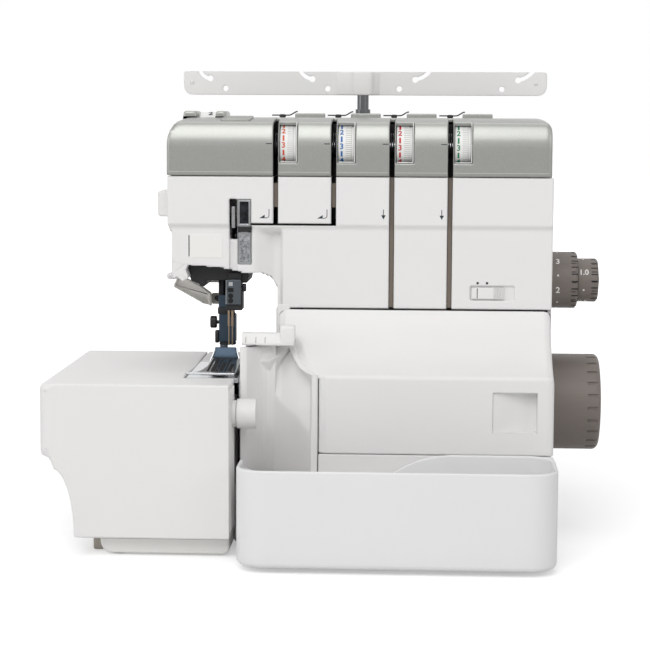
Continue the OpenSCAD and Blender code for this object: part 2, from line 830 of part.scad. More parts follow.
// Grip drum with fine notches round its outer rim
module rim_dial(x0, x1, r, bore, notches, dome) {
    difference() {
        translate([x0, shaft_y, dial_axis_z]) rotate([0, 90, 0]) rotate_extrude()
            polygon([[0, 0], [r, 0], [r, x1 - x0 - 1.5 - dome], [r - 1.5, x1 - x0 - dome], [0, x1 - x0]]);
        rod_x(bore, x0 - past, dome > 0 ? x1 - 2 : x1 + past, shaft_y, dial_axis_z);
        for (i = [0:notches - 1])
            translate([x1 - dome - 4.5, shaft_y, dial_axis_z]) rotate([i * 360 / notches, 0, 0])
                translate([0, r - 0.7, -0.5]) cube([5, 3, 1]);
    }
}
module stitch_length_dial()
    color(taupe) place() rim_dial(column_right + 0.5, length_dial_end, length_dial_d / 2, 4 + fit, 18, 0);
module differential_dial()
    color(taupe) place()
        rim_dial(length_dial_end + 0.4, column_right + 36.2, feed_dial_d / 2, 4 + fit, 14, 1.6);

module tension_slider() {
    color(white) place() {
        block([97, step_in - 0.7, 162], [118.3, step_in + 1.6, 169.8]);
        for (x = [111.6:1.6:116.4]) block([x, step_in - 1.3, 162.4], [x + 0.7, step_in - 0.6, 169.4]);
    }
}

// ---- electrics ----
module power_switch() {
    color(dark) place() difference() {
        along_x(column_right - 6, column_right + 1.4) translate([81, 45]) square([12, 10.4], center = true);
        rod_y(0.9 + fit, 70, 92, column_right - 4, 45);
    }
}

module power_inlet() {
    color(dark) place() difference() {
        union() {
            block([column_right, 70, 22], [column_right + 1.5, 92, 54]);
            block([column_right - 4, 72.4, 24.4], [column_right + 0.2, 89.6, 51.6]);
        }
        block([column_right - 8, 74.6, 38.6], [column_right + 4, 87.4, 51.4]);
        block([column_right - 2.8, 75, 26], [column_right + 4, 87, 36.6]);
        rod_y(0.9, 60, 100, column_right - 4, 45);
    }
}

module lamp() {
    color("ivory") place() {
        block([-50, 60, 186], [-40, 64, 196]);
        block([-50.5, 55, 182], [-39.5, 66, 186]);
    }
}

// ---- base ----
module base_plate() {
    color(white) place() difference() {
        union() {
            translate([0, 0, floor_gap]) linear_extrude(base_top - floor_gap) {
                round_rect([-141.5, -60], [-57.6, 98], 8);
                round_rect([-70, -38], [148, 98], 8);
            }
            // tab under the hinge of the side cover
            block([-173, 80, 8], [-138, 98, base_top]);
            block([-146, -46, 8], [-138, -28, base_top]);
        }
        translate([0, 0, floor_gap + 3]) linear_extrude(20) {
            round_rect([-138.5, -57], [-72, 77], 6);
            round_rect([-60, -35], [145, 95], 6);
        }
    }
}

module rubber_feet() {
    color("dimgray") place() for (p = feet) translate([p[0], p[1], 0]) rotate_extrude()
        polygon([[0, 0], [7, 0], [8, 1], [8, floor_gap], [0, floor_gap]]);
}

// ---- thread stand ----
module spool_stand() {
    color(white) place() difference() {
        union() {
            translate([0, 0, stand_z]) linear_extrude(5)
                round_rect([-112, case_depth + 14], [153.6, stand_rear], 16);
            block([-40, case_depth + 0.1, stand_z - 14], [82, case_depth + 3, stand_z + 5]);
            block([-40, case_depth + 2, stand_z], [82, case_depth + 30, stand_z + 5]);
            rod_z(9, stand_z - 20, stand_z + 8, pole_x, pole_y);
            for (x = pins_x) rod_z(12, stand_z + 4, stand_z + 7, x, pin_y);
        }
        rod_z(6.5 + fit, stand_z - 18, stand_z + 20, pole_x, pole_y);
        for (x = pins_x) rod_z(pin_r + 0.6, stand_z - past, stand_z + 20, x, pin_y);
        for (x = [-30, 72]) rod_y(1.7, 90, 120, x, stand_z - 8);
    }
}

module spool_pins() {
    color(steel) place() for (x = pins_x) {
        rod_z(pin_r + 0.6, stand_z, stand_z + 8 + holder_h, x, pin_y);
        rod_z(pin_r, stand_z + 8 + holder_h, stand_z + 7 + pin_h, x, pin_y);
    }
}

// Ribbed cone centres on the pins
module cone_holders() {
    color(white) place() for (x = pins_x) difference() {
        translate([x, pin_y, stand_z + 7.1]) rotate_extrude()
            polygon([[0, 0], [24, 0], [24, 2], [15, 2.2], [7, holder_h], [0, holder_h]]);
        rod_z(pin_r + 0.6 + fit, stand_z, stand_z + 60, x, pin_y);
    }
}

module guide_pole() {
    color(steel) place() difference() {
        rod_z(6.5, stand_z - 18, 279, pole_x, pole_y);
        rod_z(5.3 + fit, stand_z - 16, 290, pole_x, pole_y);
    }
}

module guide_pole_middle() {
    color(steel) place() difference() {
        rod_z(5.3, stand_z - 15, 287, pole_x, pole_y);
        rod_z(pole_d / 2 + fit, stand_z - 13, 290, pole_x, pole_y);
    }
}

module guide_pole_top() {
    color("lightgray") place() rod_z(pole_d / 2, stand_z - 12, bar_low + 13, pole_x, pole_y);
}

// Thin plate on edge with four thread eyes, each reached by a slot from the top edge
module guide_bar() {
    x0 = pole_x - guide_len / 2;
    y0 = pole_y - 1;
    eyes = [for (i = [0:3]) pole_x + (i - 1.5) * pin_pitch];
    color("whitesmoke") place() difference() {
        union() {
            along_y(y0 - 0.4, y0 + 2.4) round_rect([x0, bar_low], [x0 + guide_len, bar_low + bar_h], 4);
            rod_z(9, bar_low, bar_low + bar_h, pole_x, pole_y);
        }
        rod_z(pole_d / 2 + fit, bar_low - past, bar_low + 13.1, pole_x, pole_y);
        for (i = [0:3]) {
            s = i < 2 ? -1 : 1;
            rod_y(1.6, y0 - 5, y0 + 6, eyes[i], bar_low + 10.8);
            translate([eyes[i], y0 - 5, bar_low + 10.8]) rotate([0, s * -28, 0])
                translate([s > 0 ? 0 : -14, 0, -1.1]) cube([14, 12, 2.2]);
            rod_y(1.9, y0 - 5, y0 + 6, eyes[i] - s * 11, bar_low + 5);
        }
    }
}

// Bent wire guides behind the slots on top of the cover
module top_thread_guides() {
    color(dark) place() for (i = [0:3]) {
        block([slots[i] - 8, 64, top_z + 0.02], [slots[i] + 10, 70, top_z + 1]);
        translate([slots[i] + 9.6, 64, top_z + 0.3]) rotate([0, -38, 0]) cube([7, 2, 0.9]);
    }
}

module case_screws() {
    color(steel) place() for (p = case_screw_places) difference() {
        union() {
            rod_y(1.6, case_depth - 8, case_depth + 0.2, p[0], p[1]);
            rod_y(3.4, case_depth + 0.05, case_depth + 1.8, p[0], p[1]);
        }
        block([p[0] - 2.2, case_depth + 1, p[1] - 0.4], [p[0] + 2.2, case_depth + 3, p[1] + 0.4]);
        block([p[0] - 0.4, case_depth + 1, p[1] - 2.2], [p[0] + 0.4, case_depth + 3, p[1] + 2.2]);
    }
}

// ---- which pieces are drawn ----
base_plate();
rubber_feet();
machine_frame();
front_cover();
rear_cover();
top_cover();
thread_channels();
tension_discs();
tension_dial_1();
tension_dial_2();
tension_dial_3();
tension_dial_4();
foot_pressure_dial();
spindles_and_pins();
head_bracket();
presser_bar();
presser_foot_ankle();
presser_foot();
presser_lifter();
needle_bar();
needle_clamp();
needles();
take_up_lever();
thread_guide_plate();
thread_cutter();
looper_cover();
looper_cover_rod();
scrap_chute();
seam_guide();
waste_tray();
side_cover();
bed_cover();
needle_plate();
lower_knife();
upper_knife();
knife_knob();
upper_looper();
lower_looper();
main_feed_dog();
differential_feed_dog();
main_shaft();
handwheel();
motor();
motor_pulley();
drive_belt();
stitch_length_dial();
differential_dial();
tension_slider();
power_switch();
power_inlet();
spool_stand();
spool_pins();
cone_holders();
guide_pole();
guide_pole_middle();
guide_pole_top();
guide_bar();
top_thread_guides();
lamp();
case_screws();
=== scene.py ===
# %% [markdown]
# # A four-thread overlock machine
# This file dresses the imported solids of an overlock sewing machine: white moulded covers, a silver
# painted top, grey dials and bright steel parts round the needles. It is a lesson in cells. Each
# step first says what the real piece is and how it could be made, then makes it.
#
# The solids come first, as a fixed frame. Blender works in metres, and every piece lies exactly
# where the solids say, so nothing has to be fitted by eye.

# %% Load the frame
import json
import math

import bmesh
import bpy
import numpy as np
from mathutils import Matrix, Vector
from mathutils.geometry import tessellate_polygon


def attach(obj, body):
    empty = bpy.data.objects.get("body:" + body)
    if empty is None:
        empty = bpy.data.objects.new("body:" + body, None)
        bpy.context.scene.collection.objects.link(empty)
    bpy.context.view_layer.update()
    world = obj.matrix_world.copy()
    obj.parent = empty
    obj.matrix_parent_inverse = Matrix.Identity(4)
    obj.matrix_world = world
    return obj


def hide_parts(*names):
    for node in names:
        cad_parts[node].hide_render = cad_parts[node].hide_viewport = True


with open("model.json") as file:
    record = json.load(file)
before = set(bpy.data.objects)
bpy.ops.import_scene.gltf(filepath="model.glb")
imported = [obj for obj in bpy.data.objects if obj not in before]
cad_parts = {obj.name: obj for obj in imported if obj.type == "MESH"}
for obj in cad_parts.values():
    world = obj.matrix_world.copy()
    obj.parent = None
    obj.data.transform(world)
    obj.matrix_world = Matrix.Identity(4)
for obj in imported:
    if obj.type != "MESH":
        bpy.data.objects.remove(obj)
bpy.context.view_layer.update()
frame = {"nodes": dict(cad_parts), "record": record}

scene = bpy.context.scene

# %% [markdown]
# ## One way of measuring
# The machine is drawn in its own millimetres: X runs along the front, Y goes back from the plane
# of the upper front panels, Z goes up from the table. The frame of the solids has its origin under
# the middle of the whole machine, 4 mm and 36 mm away. One helper turns drawing millimetres into
# Blender metres, and every piece goes through it once, at the end.

# %% Millimetres of the drawing to metres of the scene
CENTRE = np.array([4.0, 36.0, 0.0])


def metres(points):
    """(point - centre) / 1000, for an array of points whose last axis is x, y, z."""
    return (np.asarray(points, float) - CENTRE) / 1000.0


print("drawing origin in the scene:", metres([0, 0, 0]))

# %% [markdown]
# ## Camera
# A long lens from a little above keeps upright edges nearly parallel. The camera stands 1.3 m in
# front and just right of the machine, looks 6 degrees down and turns 3 degrees to the left. Its
# three axes are worked out from those angles and written straight into its matrix, which is exact
# and easier to read than Euler angles.

# %% Camera
YAW, PITCH, ROLL = math.radians(2.8637), math.radians(6.2528), 0.0046
CAMERA_PLACE = (0.058728, -1.290, 0.28157)
SENSOR_MM, FOCAL_MM = 36.0, 105.23
ahead = Vector((-math.sin(YAW) * math.cos(PITCH), math.cos(YAW) * math.cos(PITCH), -math.sin(PITCH)))
right = Vector((math.cos(YAW), math.sin(YAW), 0.0))
up = right.cross(ahead)
right, up = (
    right * math.cos(ROLL) + up * math.sin(ROLL),
    up * math.cos(ROLL) - right * math.sin(ROLL),
)
lens = bpy.data.cameras.new("studio_camera")
lens.sensor_width = SENSOR_MM
lens.lens = FOCAL_MM
camera = bpy.data.objects.new("studio_camera", lens)
scene.collection.objects.link(camera)
axes = Matrix((right, up, -ahead)).transposed().to_4x4()
camera.matrix_world = Matrix.Translation(CAMERA_PLACE) @ axes
scene.camera = camera
scene.view_settings.view_transform = "Standard"
print("camera at", tuple(round(v, 3) for v in camera.location))

# %% [markdown]
# ## Studio
# White plastic on a white ground only reads when the light has a direction. A large soft panel
# stands high in front, a little to the left; two weaker ones fill from the far left and right,
# and a broad one overhead brightens the upper faces. The world adds a plain fill that the camera
# sees as white. The floor is paper that glows for the camera only, more with distance, so it
# fades into the white ground but keeps the soft shadow round the feet.

# %% Lights, world and floor
WHITE = (1, 1, 1, 1)


def area_light(name, place, target, size, power):
    """A square lamp at one point that faces another: -Z along the line between them."""
    data = bpy.data.lights.new(name, "AREA")
    data.shape = "SQUARE"
    data.size = size
    data.energy = power
    lamp = bpy.data.objects.new(name, data)
    line = Vector(target) - Vector(place)
    lamp.matrix_world = Matrix.Translation(place) @ line.to_track_quat("-Z", "Y").to_matrix().to_4x4()
    scene.collection.objects.link(lamp)
    return lamp


area_light("panel_key", (-0.25, -1.65, 1.55), (0, 0, 0.15), 1.4, 18.0)
area_light("panel_left", (-1.6, -0.9, 0.7), (0, 0, 0.14), 1.0, 5.0)
area_light("panel_right", (1.5, -1.2, 0.8), (0.02, 0, 0.14), 1.0, 4.0)
area_light("panel_top", (0.0, 0.3, 1.8), (0, 0, 0.15), 1.4, 6.0)


def add(tree, kind, inputs=(), **settings):
    """One shader node: settings are its own properties, inputs are (socket, value) or (socket, output)."""
    node = tree.nodes.new("ShaderNode" + kind)
    for key, value in settings.items():
        setattr(node, key, value)
    for socket, value in inputs:
        if isinstance(value, bpy.types.NodeSocket):
            tree.links.new(value, node.inputs[socket])
        else:
            node.inputs[socket].default_value = value
    return node


def world_light(strength, seen):
    """Background: plain fill for the object, a paler one where camera, gloss or glass look."""
    world = bpy.data.worlds.new("studio_world")
    world.use_nodes = True
    tree = world.node_tree
    tree.nodes.clear()
    ray = add(tree, "LightPath").outputs
    fill = add(tree, "Background", [("Color", WHITE), ("Strength", strength)])
    pale = add(tree, "Background", [("Color", WHITE), ("Strength", seen)])
    direct = add(tree, "Math", [(0, ray["Is Camera Ray"]), (1, ray["Is Glossy Ray"])], operation="MAXIMUM")
    looks = add(tree, "Math", [(0, direct.outputs[0]), (1, ray["Is Transmission Ray"])], operation="MAXIMUM")
    mix = add(tree, "MixShader", [(0, looks.outputs[0]), (1, fill.outputs[0]), (2, pale.outputs[0])])
    add(tree, "OutputWorld", [(0, mix.outputs[0])])
    scene.world = world


def paper_material(grey, near, far):
    """Matt paper that glows for the camera only: from near's strength by the machine to far's outside."""
    paper = bpy.data.materials.new("studio_paper")
    paper.use_nodes = True
    tree = paper.node_tree
    tree.nodes.clear()
    ray = add(tree, "LightPath")
    matt = add(tree, "BsdfDiffuse", [("Color", (grey, grey, grey, 1))])
    where = add(tree, "TexCoord")
    reach = add(tree, "VectorMath", [(0, where.outputs["Object"])], operation="LENGTH")
    fade = add(tree, "MapRange", [("Value", reach.outputs["Value"]), ("From Min", near[0]),
                                  ("From Max", far[0]), ("To Min", near[1]), ("To Max", far[1])])
    glow = add(tree, "Emission", [("Color", WHITE), ("Strength", fade.outputs["Result"])])
    both = add(tree, "AddShader", [(0, matt.outputs[0]), (1, glow.outputs[0])])
    seen = ray.outputs["Is Camera Ray"]
    mix = add(tree, "MixShader", [(0, seen), (1, matt.outputs[0]), (2, both.outputs[0])])
    add(tree, "OutputMaterial", [(0, mix.outputs[0])])
    return paper


world_light(0.38, 1.0)
floor_mesh = bpy.data.meshes.new("studio_floor")
floor_mesh.from_pydata([(-6, -6, 0), (6, -6, 0), (6, 8, 0), (-6, 8, 0)], [], [(0, 1, 2, 3)])
floor_mesh.materials.append(paper_material(0.86, near=(0.2, 0.40), far=(1.6, 1.0)))
floor = bpy.data.objects.new("studio_floor", floor_mesh)
scene.collection.objects.link(floor)

# %% [markdown]
# ## Finishes
# Moulded plastic is never one flat colour. A fine spark-eroded texture breaks up its gloss, and
# the pigment drifts a little over large areas. One helper builds both from noise on Object
# coordinates, which are the machine's own metres, so the grain keeps its real size on every piece.
# The values that don't vary are typed straight into the shader's sockets. A Bevel node rounds the
# look of the sharp solids by a fraction of a millimetre.

# %% A finish from noise
FINISHES = {}


def linear(r, g, b):
    """Screen values 0..255 to the linear colour that Blender mixes with (the sRGB curve)."""
    v = np.array([r, g, b]) / 255.0
    return tuple(np.where(v <= 0.04045, v / 12.92, ((v + 0.055) / 1.055) ** 2.4))


def finish(name, screen, rough=0.4, metal=0.0, grain=1400.0, depth=0.04, drift=0.03, edge=0.0006,
           coat=0.0, streak=None, speck=0.0):
    """Principled surface: screen colour * (1 +- drift by slow noise) * (1 +- speck by fine noise), rough
    +- 0.07 by fine noise, bump of `depth` from noise with `grain` cells a metre, which `streak` stretches
    for brushed steel."""
    colour = linear(*screen)
    mat = bpy.data.materials.new(name)
    mat.use_nodes = True
    tree = mat.node_tree
    where = add(tree, "TexCoord").outputs["Object"]
    stretch = add(tree, "Mapping", [("Vector", where), ("Scale", streak or (1, 1, 1))])
    slow = add(tree, "TexNoise", [("Vector", where), ("Scale", 18.0), ("Detail", 3.0)]).outputs["Fac"]
    fine = add(tree, "TexNoise", [("Vector", stretch.outputs["Vector"]), ("Scale", grain),
                                  ("Detail", 2.0)]).outputs["Fac"]
    tint = add(tree, "MapRange", [("Value", slow), ("To Min", 1.0 - drift), ("To Max", 1.0 + drift)])
    flake = add(tree, "MapRange", [("Value", fine), ("From Min", 0.3), ("From Max", 0.7),
                                   ("To Min", 1.0 - speck), ("To Max", 1.0 + speck)])
    shade = add(tree, "Math", [(0, tint.outputs[0]), (1, flake.outputs[0])], operation="MULTIPLY")
    paint = add(tree, "VectorMath", [(0, colour), ("Scale", shade.outputs[0])], operation="SCALE")
    gloss = add(tree, "MapRange", [("Value", fine), ("To Min", max(rough - 0.07, 0.03)),
                                   ("To Max", min(rough + 0.07, 1.0))])
    bump = add(tree, "Bump", [("Height", fine), ("Strength", depth), ("Distance", 0.0002)])
    if edge:
        soft = add(tree, "Bevel", [("Radius", edge)], samples=4)
        tree.links.new(soft.outputs["Normal"], bump.inputs["Normal"])
    shader = tree.nodes["Principled BSDF"]
    shader.inputs["Metallic"].default_value = metal
    shader.inputs["IOR"].default_value = 1.46
    shader.inputs["Coat Weight"].default_value = coat
    shader.inputs["Coat Roughness"].default_value = 0.12
    tree.links.new(paint.outputs["Vector"], shader.inputs["Base Color"])
    tree.links.new(gloss.outputs["Result"], shader.inputs["Roughness"])
    tree.links.new(bump.outputs["Normal"], shader.inputs["Normal"])
    FINISHES[name] = mat
    return mat


print("white shell is", tuple(round(float(c), 3) for c in linear(236, 235, 234)))

# %% [markdown]
# ## Every solid gets its finish
# The record names fourteen materials. Each becomes one finish here, with the colour, gloss and
# grain of the real thing: spark-eroded white covers, silver lacquer with fine flakes, satin taupe
# grips, polished and brushed steels, blued steel at the needle clamp, a cast grey frame. Below
# them come finishes that only small pieces have, such as etched plate, rubber and printing ink.
# The solids whose shape is already right keep it, and only their material slots change.

# %% The finishes
finish("white_shell", (235, 234, 233), 0.42, grain=1600, depth=0.05, drift=0.012, edge=0.0012)
finish("silver_shell", (156, 157, 153), 0.34, 0.7, 2600, 0.05, 0.03, 0.0010, coat=0.15, speck=0.10)
finish("tray_white", (233, 233, 233), 0.33, grain=900, depth=0.02, drift=0.01, edge=0.0010)
finish("dial_white", (238, 238, 236), 0.35, grain=1200, depth=0.03, drift=0.01, edge=0.0004)
finish("taupe_grip", (118, 110, 104), 0.46, grain=1500, depth=0.07, drift=0.05, edge=0.0007)
finish("black_plastic", (22, 22, 24), 0.45, grain=1300, depth=0.05, drift=0.12, edge=0.0004)
finish("black_rubber", (26, 26, 27), 0.8, grain=700, depth=0.15, drift=0.15, edge=0.0006)
finish("grey_plastic", (172, 170, 165), 0.42, grain=1500, depth=0.05, drift=0.03, edge=0.0008)
finish("frame_casting", (140, 142, 144), 0.55, 0.8, 420, 0.35, 0.10, 0.0008)
finish("polished_steel", (190, 192, 194), 0.18, 1.0, 700, 0.03, 0.05, 0.0003, streak=(1, 1, 0.06))
finish("chrome_trim", (214, 216, 218), 0.07, 1.0, 300, 0.02, 0.03, 0.0003)
finish("dark_steel", (52, 54, 58), 0.3, 1.0, 900, 0.05, 0.12, 0.0003, streak=(0.08, 1, 1))
finish("blue_steel", (60, 72, 84), 0.4, 1.0, 900, 0.05, 0.12, 0.0003)
finish("lamp_lens", (236, 234, 222), 0.25, grain=800, depth=0.04, drift=0.02, edge=0.0003)

# Chrome whose colour is darkened to paint the dark reflections that the poles, needle bar and upper looper
# show.
finish("chrome_dark_reflection", (96, 98, 100), 0.14, 1.0, 300, 0.02, 0.05, 0.0003)
# Near-black metal: the colour of black parts, and painted shade on the tension discs inside their slots and
# on the foot hood's lower band.
finish("black_and_painted_shade", (34, 35, 37), 0.32, 0.8, 700, 0.05, 0.1, 0.0003)
finish("pad_rubber", (186, 180, 170), 0.7, grain=900, depth=0.15, drift=0.05)
finish("slate_steel", (84, 90, 95), 0.36, 0.85, 800, 0.05, 0.1, 0.0003)
finish("needle_steel", (150, 134, 116), 0.3, 1.0, 500, 0.03, 0.05, 0)
# Near-black that paints the shade seen in holes and slots: the foot's slots, the clamp's window and screw
# holes.
finish("hole_shade", (9, 9, 10), 0.8, grain=900, depth=0.05, drift=0.05, edge=0)
# A lighter copy of the white shell for the base: painted light that offsets the shade falling on it under the
# covers.
finish("base_white_brightened", (250, 249, 246), 0.4, grain=1100, depth=0.03, drift=0.02)
# A lighter silver for the painted highlight line along the silver cover's lower lip.
finish("silver_lip_highlight", (196, 197, 193), 0.35, 0.5, 1500, 0.03, 0.03, 0)
finish("lever_grey", (226, 223, 217), 0.42, grain=1200, depth=0.04, drift=0.05)
finish("etched_steel", (150, 152, 155), 0.3, 0.7, 650, 0.5, 0.1, 0, speck=0.55)
finish("etched_black", (40, 42, 45), 0.24, 0.8, 420, 0.6, 0.2, 0, speck=0.8)
# Printing inks, and one warm grey that paints the shade inside the thread slots.
for paint, screen, slot in (("orange", (214, 78, 34), "dial_white"), ("blue", (24, 104, 176), "dial_white"),
                            ("red", (196, 28, 34), "dial_white"), ("green", (28, 128, 84), "dial_white"),
                            ("dark", (38, 48, 54), "black_plastic"), ("white", (232, 230, 226), "dial_white"),
                            ("slot_shade", (112, 102, 92), "grey_plastic")):
    finish("paint_" + paint, screen, grain=2400, depth=0.02, drift=0.02, edge=0)
finish("label_film", (240, 239, 236), grain=2400, depth=0.02, drift=0.02, edge=0)

# Own finishes: the guide poles, needle bar and upper looper take chrome painted dark for its dark
# reflections; the presser bar, main shaft and tension discs take near-black metal, which on the discs is
# painted shade inside their slots.
OWN_FINISH = {"needles": "needle_steel", "guide_pole": "chrome_dark_reflection", "guide_pole_middle": "chrome_dark_reflection",
              "guide_pole_top": "chrome_dark_reflection", "presser_bar": "black_and_painted_shade", "tension_discs": "black_and_painted_shade",
              "rubber_feet": "pad_rubber", "needle_bar": "chrome_dark_reflection", "main_shaft": "black_and_painted_shade",
              "upper_looper": "chrome_dark_reflection"}
slot_of = {part["node"]: part["material_slot"] for part in frame["record"]["subparts"]}
for node_name, thing in frame["nodes"].items():
    thing.data.materials.clear()
    thing.data.materials.append(FINISHES[OWN_FINISH.get(node_name, slot_of.get(node_name, "white_shell"))])
print("finished solids:", len(slot_of), "of", len(frame["nodes"]))

# %% [markdown]
# ## From points to a piece
# Every piece ends in the same helper, which merges the points that two faces share, smooths the
# faces up to an angle, adds the finish, and puts the piece on the body that carries it. A second
# helper lays grid lines: even ones, and a crowd of them where an edge will come, which keeps
# openings sharp with few faces.

# %% Pieces and grid lines
SAME_POINT = 2e-6  # metres: points nearer than this are one


def mesh_piece(name, points, faces, material, body="root", smooth=40.0):
    """One object from drawing points and faces: near points merged, loose ones dropped, then smoothed."""
    data = bpy.data.meshes.new(name)
    data.from_pydata(metres(points).reshape(-1, 3).tolist(), [], [tuple(f) for f in faces])
    work = bmesh.new()
    work.from_mesh(data)
    bmesh.ops.remove_doubles(work, verts=work.verts, dist=SAME_POINT)
    loose = [v for v in work.verts if not v.link_faces]
    bmesh.ops.delete(work, geom=loose, context="VERTS")
    work.to_mesh(data)
    work.free()
    data.polygons.foreach_set("use_smooth", np.ones(len(data.polygons), bool))
    data.set_sharp_from_angle(angle=math.radians(smooth))
    data.materials.append(FINISHES[material])
    thing = bpy.data.objects.new(name, data)
    scene.collection.objects.link(thing)
    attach(thing, body)
    return thing


def lines(low, high, step, marks=(), roll=1.2):
    """Even grid lines from low to high, and a crowd of lines on both sides of each mark. A mark keeps three
    lines, on it and 0.02 to each side; others that stand closer than 0.09 to a neighbour are thinned out."""
    sides, thin = (-0.02, 0.0, 0.02), 0.09
    crowd = np.concatenate([sides, np.array([0.12, 0.3, 0.55, 0.85, 1.2]) * roll])
    near = [m + s * c for m in marks for s in (-1, 1) for c in crowd]
    even = np.linspace(low, high, int((high - low) / step) + 2)
    values = np.unique(np.round(np.concatenate([even, near]), 3))
    values = values[(values >= low - 0.021) & (values <= high + 0.021)]
    fixed = np.isin(values, np.round(np.array([m + d for m in marks for d in sides]), 3))
    wide = np.diff(values) > thin
    keep = np.ones(len(values), bool)
    keep[1:] = wide | fixed[1:]
    keep[:-1] &= wide | fixed[:-1] | ~np.roll(keep, -1)[:-1]
    return values[keep | fixed]


def smooth_step(low, high, value):
    """3t^2 - 2t^3 between low and high, level outside."""
    t = np.clip((value - low) / (high - low), 0, 1)
    return t * t * (3 - 2 * t)


print("pieces are merged within", SAME_POINT * 1000, "mm")

# %% [markdown]
# ## Outlines
# Plastic parts are drawn as flat outlines with rounded corners, because a mould is milled with
# round tools. Two helpers say how far a point is from an outline, one rounds corners with arcs
# tangent to both sides, one moves an outline inward, and the last two walk along a path.

# %% Outlines, distances and paths
def box_distance(x, z, low, high, r=0.0):
    """Signed distance to a rectangle whose corners are rounded by r: negative inside."""
    half = np.array([(high[0] - low[0]) / 2 - r, (high[1] - low[1]) / 2 - r])
    qx = np.abs(x - (low[0] + high[0]) / 2) - half[0]
    qz = np.abs(z - (low[1] + high[1]) / 2) - half[1]
    return np.hypot(np.maximum(qx, 0), np.maximum(qz, 0)) + np.minimum(np.maximum(qx, qz), 0) - r


def outline_distance(x, z, outline):
    """Signed distance to a closed outline: its nearest side, negative where an even-odd ray is inside."""
    a = np.asarray(outline, float)
    b = np.roll(a, -1, 0)
    side = b - a
    p = np.stack([x, z], -1)[..., None, :]
    along = np.clip(((p - a) * side).sum(-1) / (side * side).sum(-1), 0, 1)
    far = np.linalg.norm(p - a - along[..., None] * side, axis=-1).min(-1)
    xx, zz = x[..., None], z[..., None]
    rise = np.where(side[:, 1] == 0, 1e-9, side[:, 1])
    crossed = ((a[:, 1] > zz) != (b[:, 1] > zz)) & (xx < side[:, 0] * (zz - a[:, 1]) / rise + a[:, 0])
    return np.where(crossed.sum(-1) % 2 == 1, -far, far)


def rounded(corners, radii, steps=6):
    """Closed outline whose corners are replaced with arcs tangent to both sides."""
    c = np.asarray(corners, float)
    radii = np.broadcast_to(radii, len(c))
    result = []
    for i in range(len(c)):
        a, p, b = c[i - 1], c[i], c[(i + 1) % len(c)]
        if radii[i] <= 0:
            result.append(p[None])
            continue
        u, v = (a - p) / np.linalg.norm(a - p), (b - p) / np.linalg.norm(b - p)
        half = math.acos(np.clip(u @ v, -1, 1)) / 2
        reach = radii[i] / math.tan(half)
        centre = p + (u + v) / np.linalg.norm(u + v) * radii[i] / math.sin(half)
        start, end = p + u * reach - centre, p + v * reach - centre
        t0 = math.atan2(start[1], start[0])
        turn = (math.atan2(end[1], end[0]) - t0 + math.pi) % (2 * math.pi) - math.pi
        t = t0 + turn * np.linspace(0, 1, steps + 1)
        result.append(centre + radii[i] * np.stack([np.cos(t), np.sin(t)], -1))
    return np.concatenate(result)


def inset(outline, amount):
    """Each corner of a closed outline moved along the mean of its side normals: inward if above 0."""
    p = np.asarray(outline, float)
    side = np.roll(p, -1, 0) - p
    area = (p[:, 0] * np.roll(p[:, 1], -1) - p[:, 1] * np.roll(p[:, 0], -1)).sum()
    normal = np.stack([-side[:, 1], side[:, 0]], -1) / np.linalg.norm(side, axis=1)[:, None] * np.sign(area)
    before = np.roll(normal, 1, 0)
    return p + amount * (normal + before) / (1 + (normal * before).sum(1))[:, None]


def circle(a, b, radius, steps=24):
    """Closed ring of points round (a, b)."""
    t = np.linspace(0, 2 * math.pi, steps, endpoint=False)
    return np.stack([a + radius * np.cos(t), b + radius * np.sin(t)], -1)


def box(a0, b0, a1, b1):
    """The four corners of an upright rectangle, anticlockwise from the low left one."""
    return [(a0, b0), (a1, b0), (a1, b1), (a0, b1)]


def run_length(path):
    """Length along a path up to each of its points."""
    return np.concatenate([[0], np.cumsum(np.linalg.norm(np.diff(path, axis=0), axis=1))])


def along_path(run, runs, path, reach):
    """Point of a flat path at each run length, and its unit direction from a step of reach to both sides."""
    a, b = (np.interp(run, runs, path[:, i]) for i in (0, 1))
    step_a, step_b = (np.interp(run + reach, runs, path[:, i]) - np.interp(run - reach, runs, path[:, i])
                      for i in (0, 1))
    length = np.maximum(np.hypot(step_a, step_b), 1e-6)
    return a, b, step_a / length, step_b / length


print("a rounded square has", len(rounded(box(0, 0, 9, 9), 2.0)), "points")

# %% [markdown]
# ## A moulded wall
# A moulded cover is a thin wall with soft edges and crisp openings. A grid of two parameters
# gives its smooth outer face, and a signed distance says how far each point is from the edge of
# the plate. Near the edge the face rolls inward on a quarter circle. Points beyond the edge are
# drawn back onto it and pushed in, so they become the wall, and only the cells that lie wholly
# outside are left open.

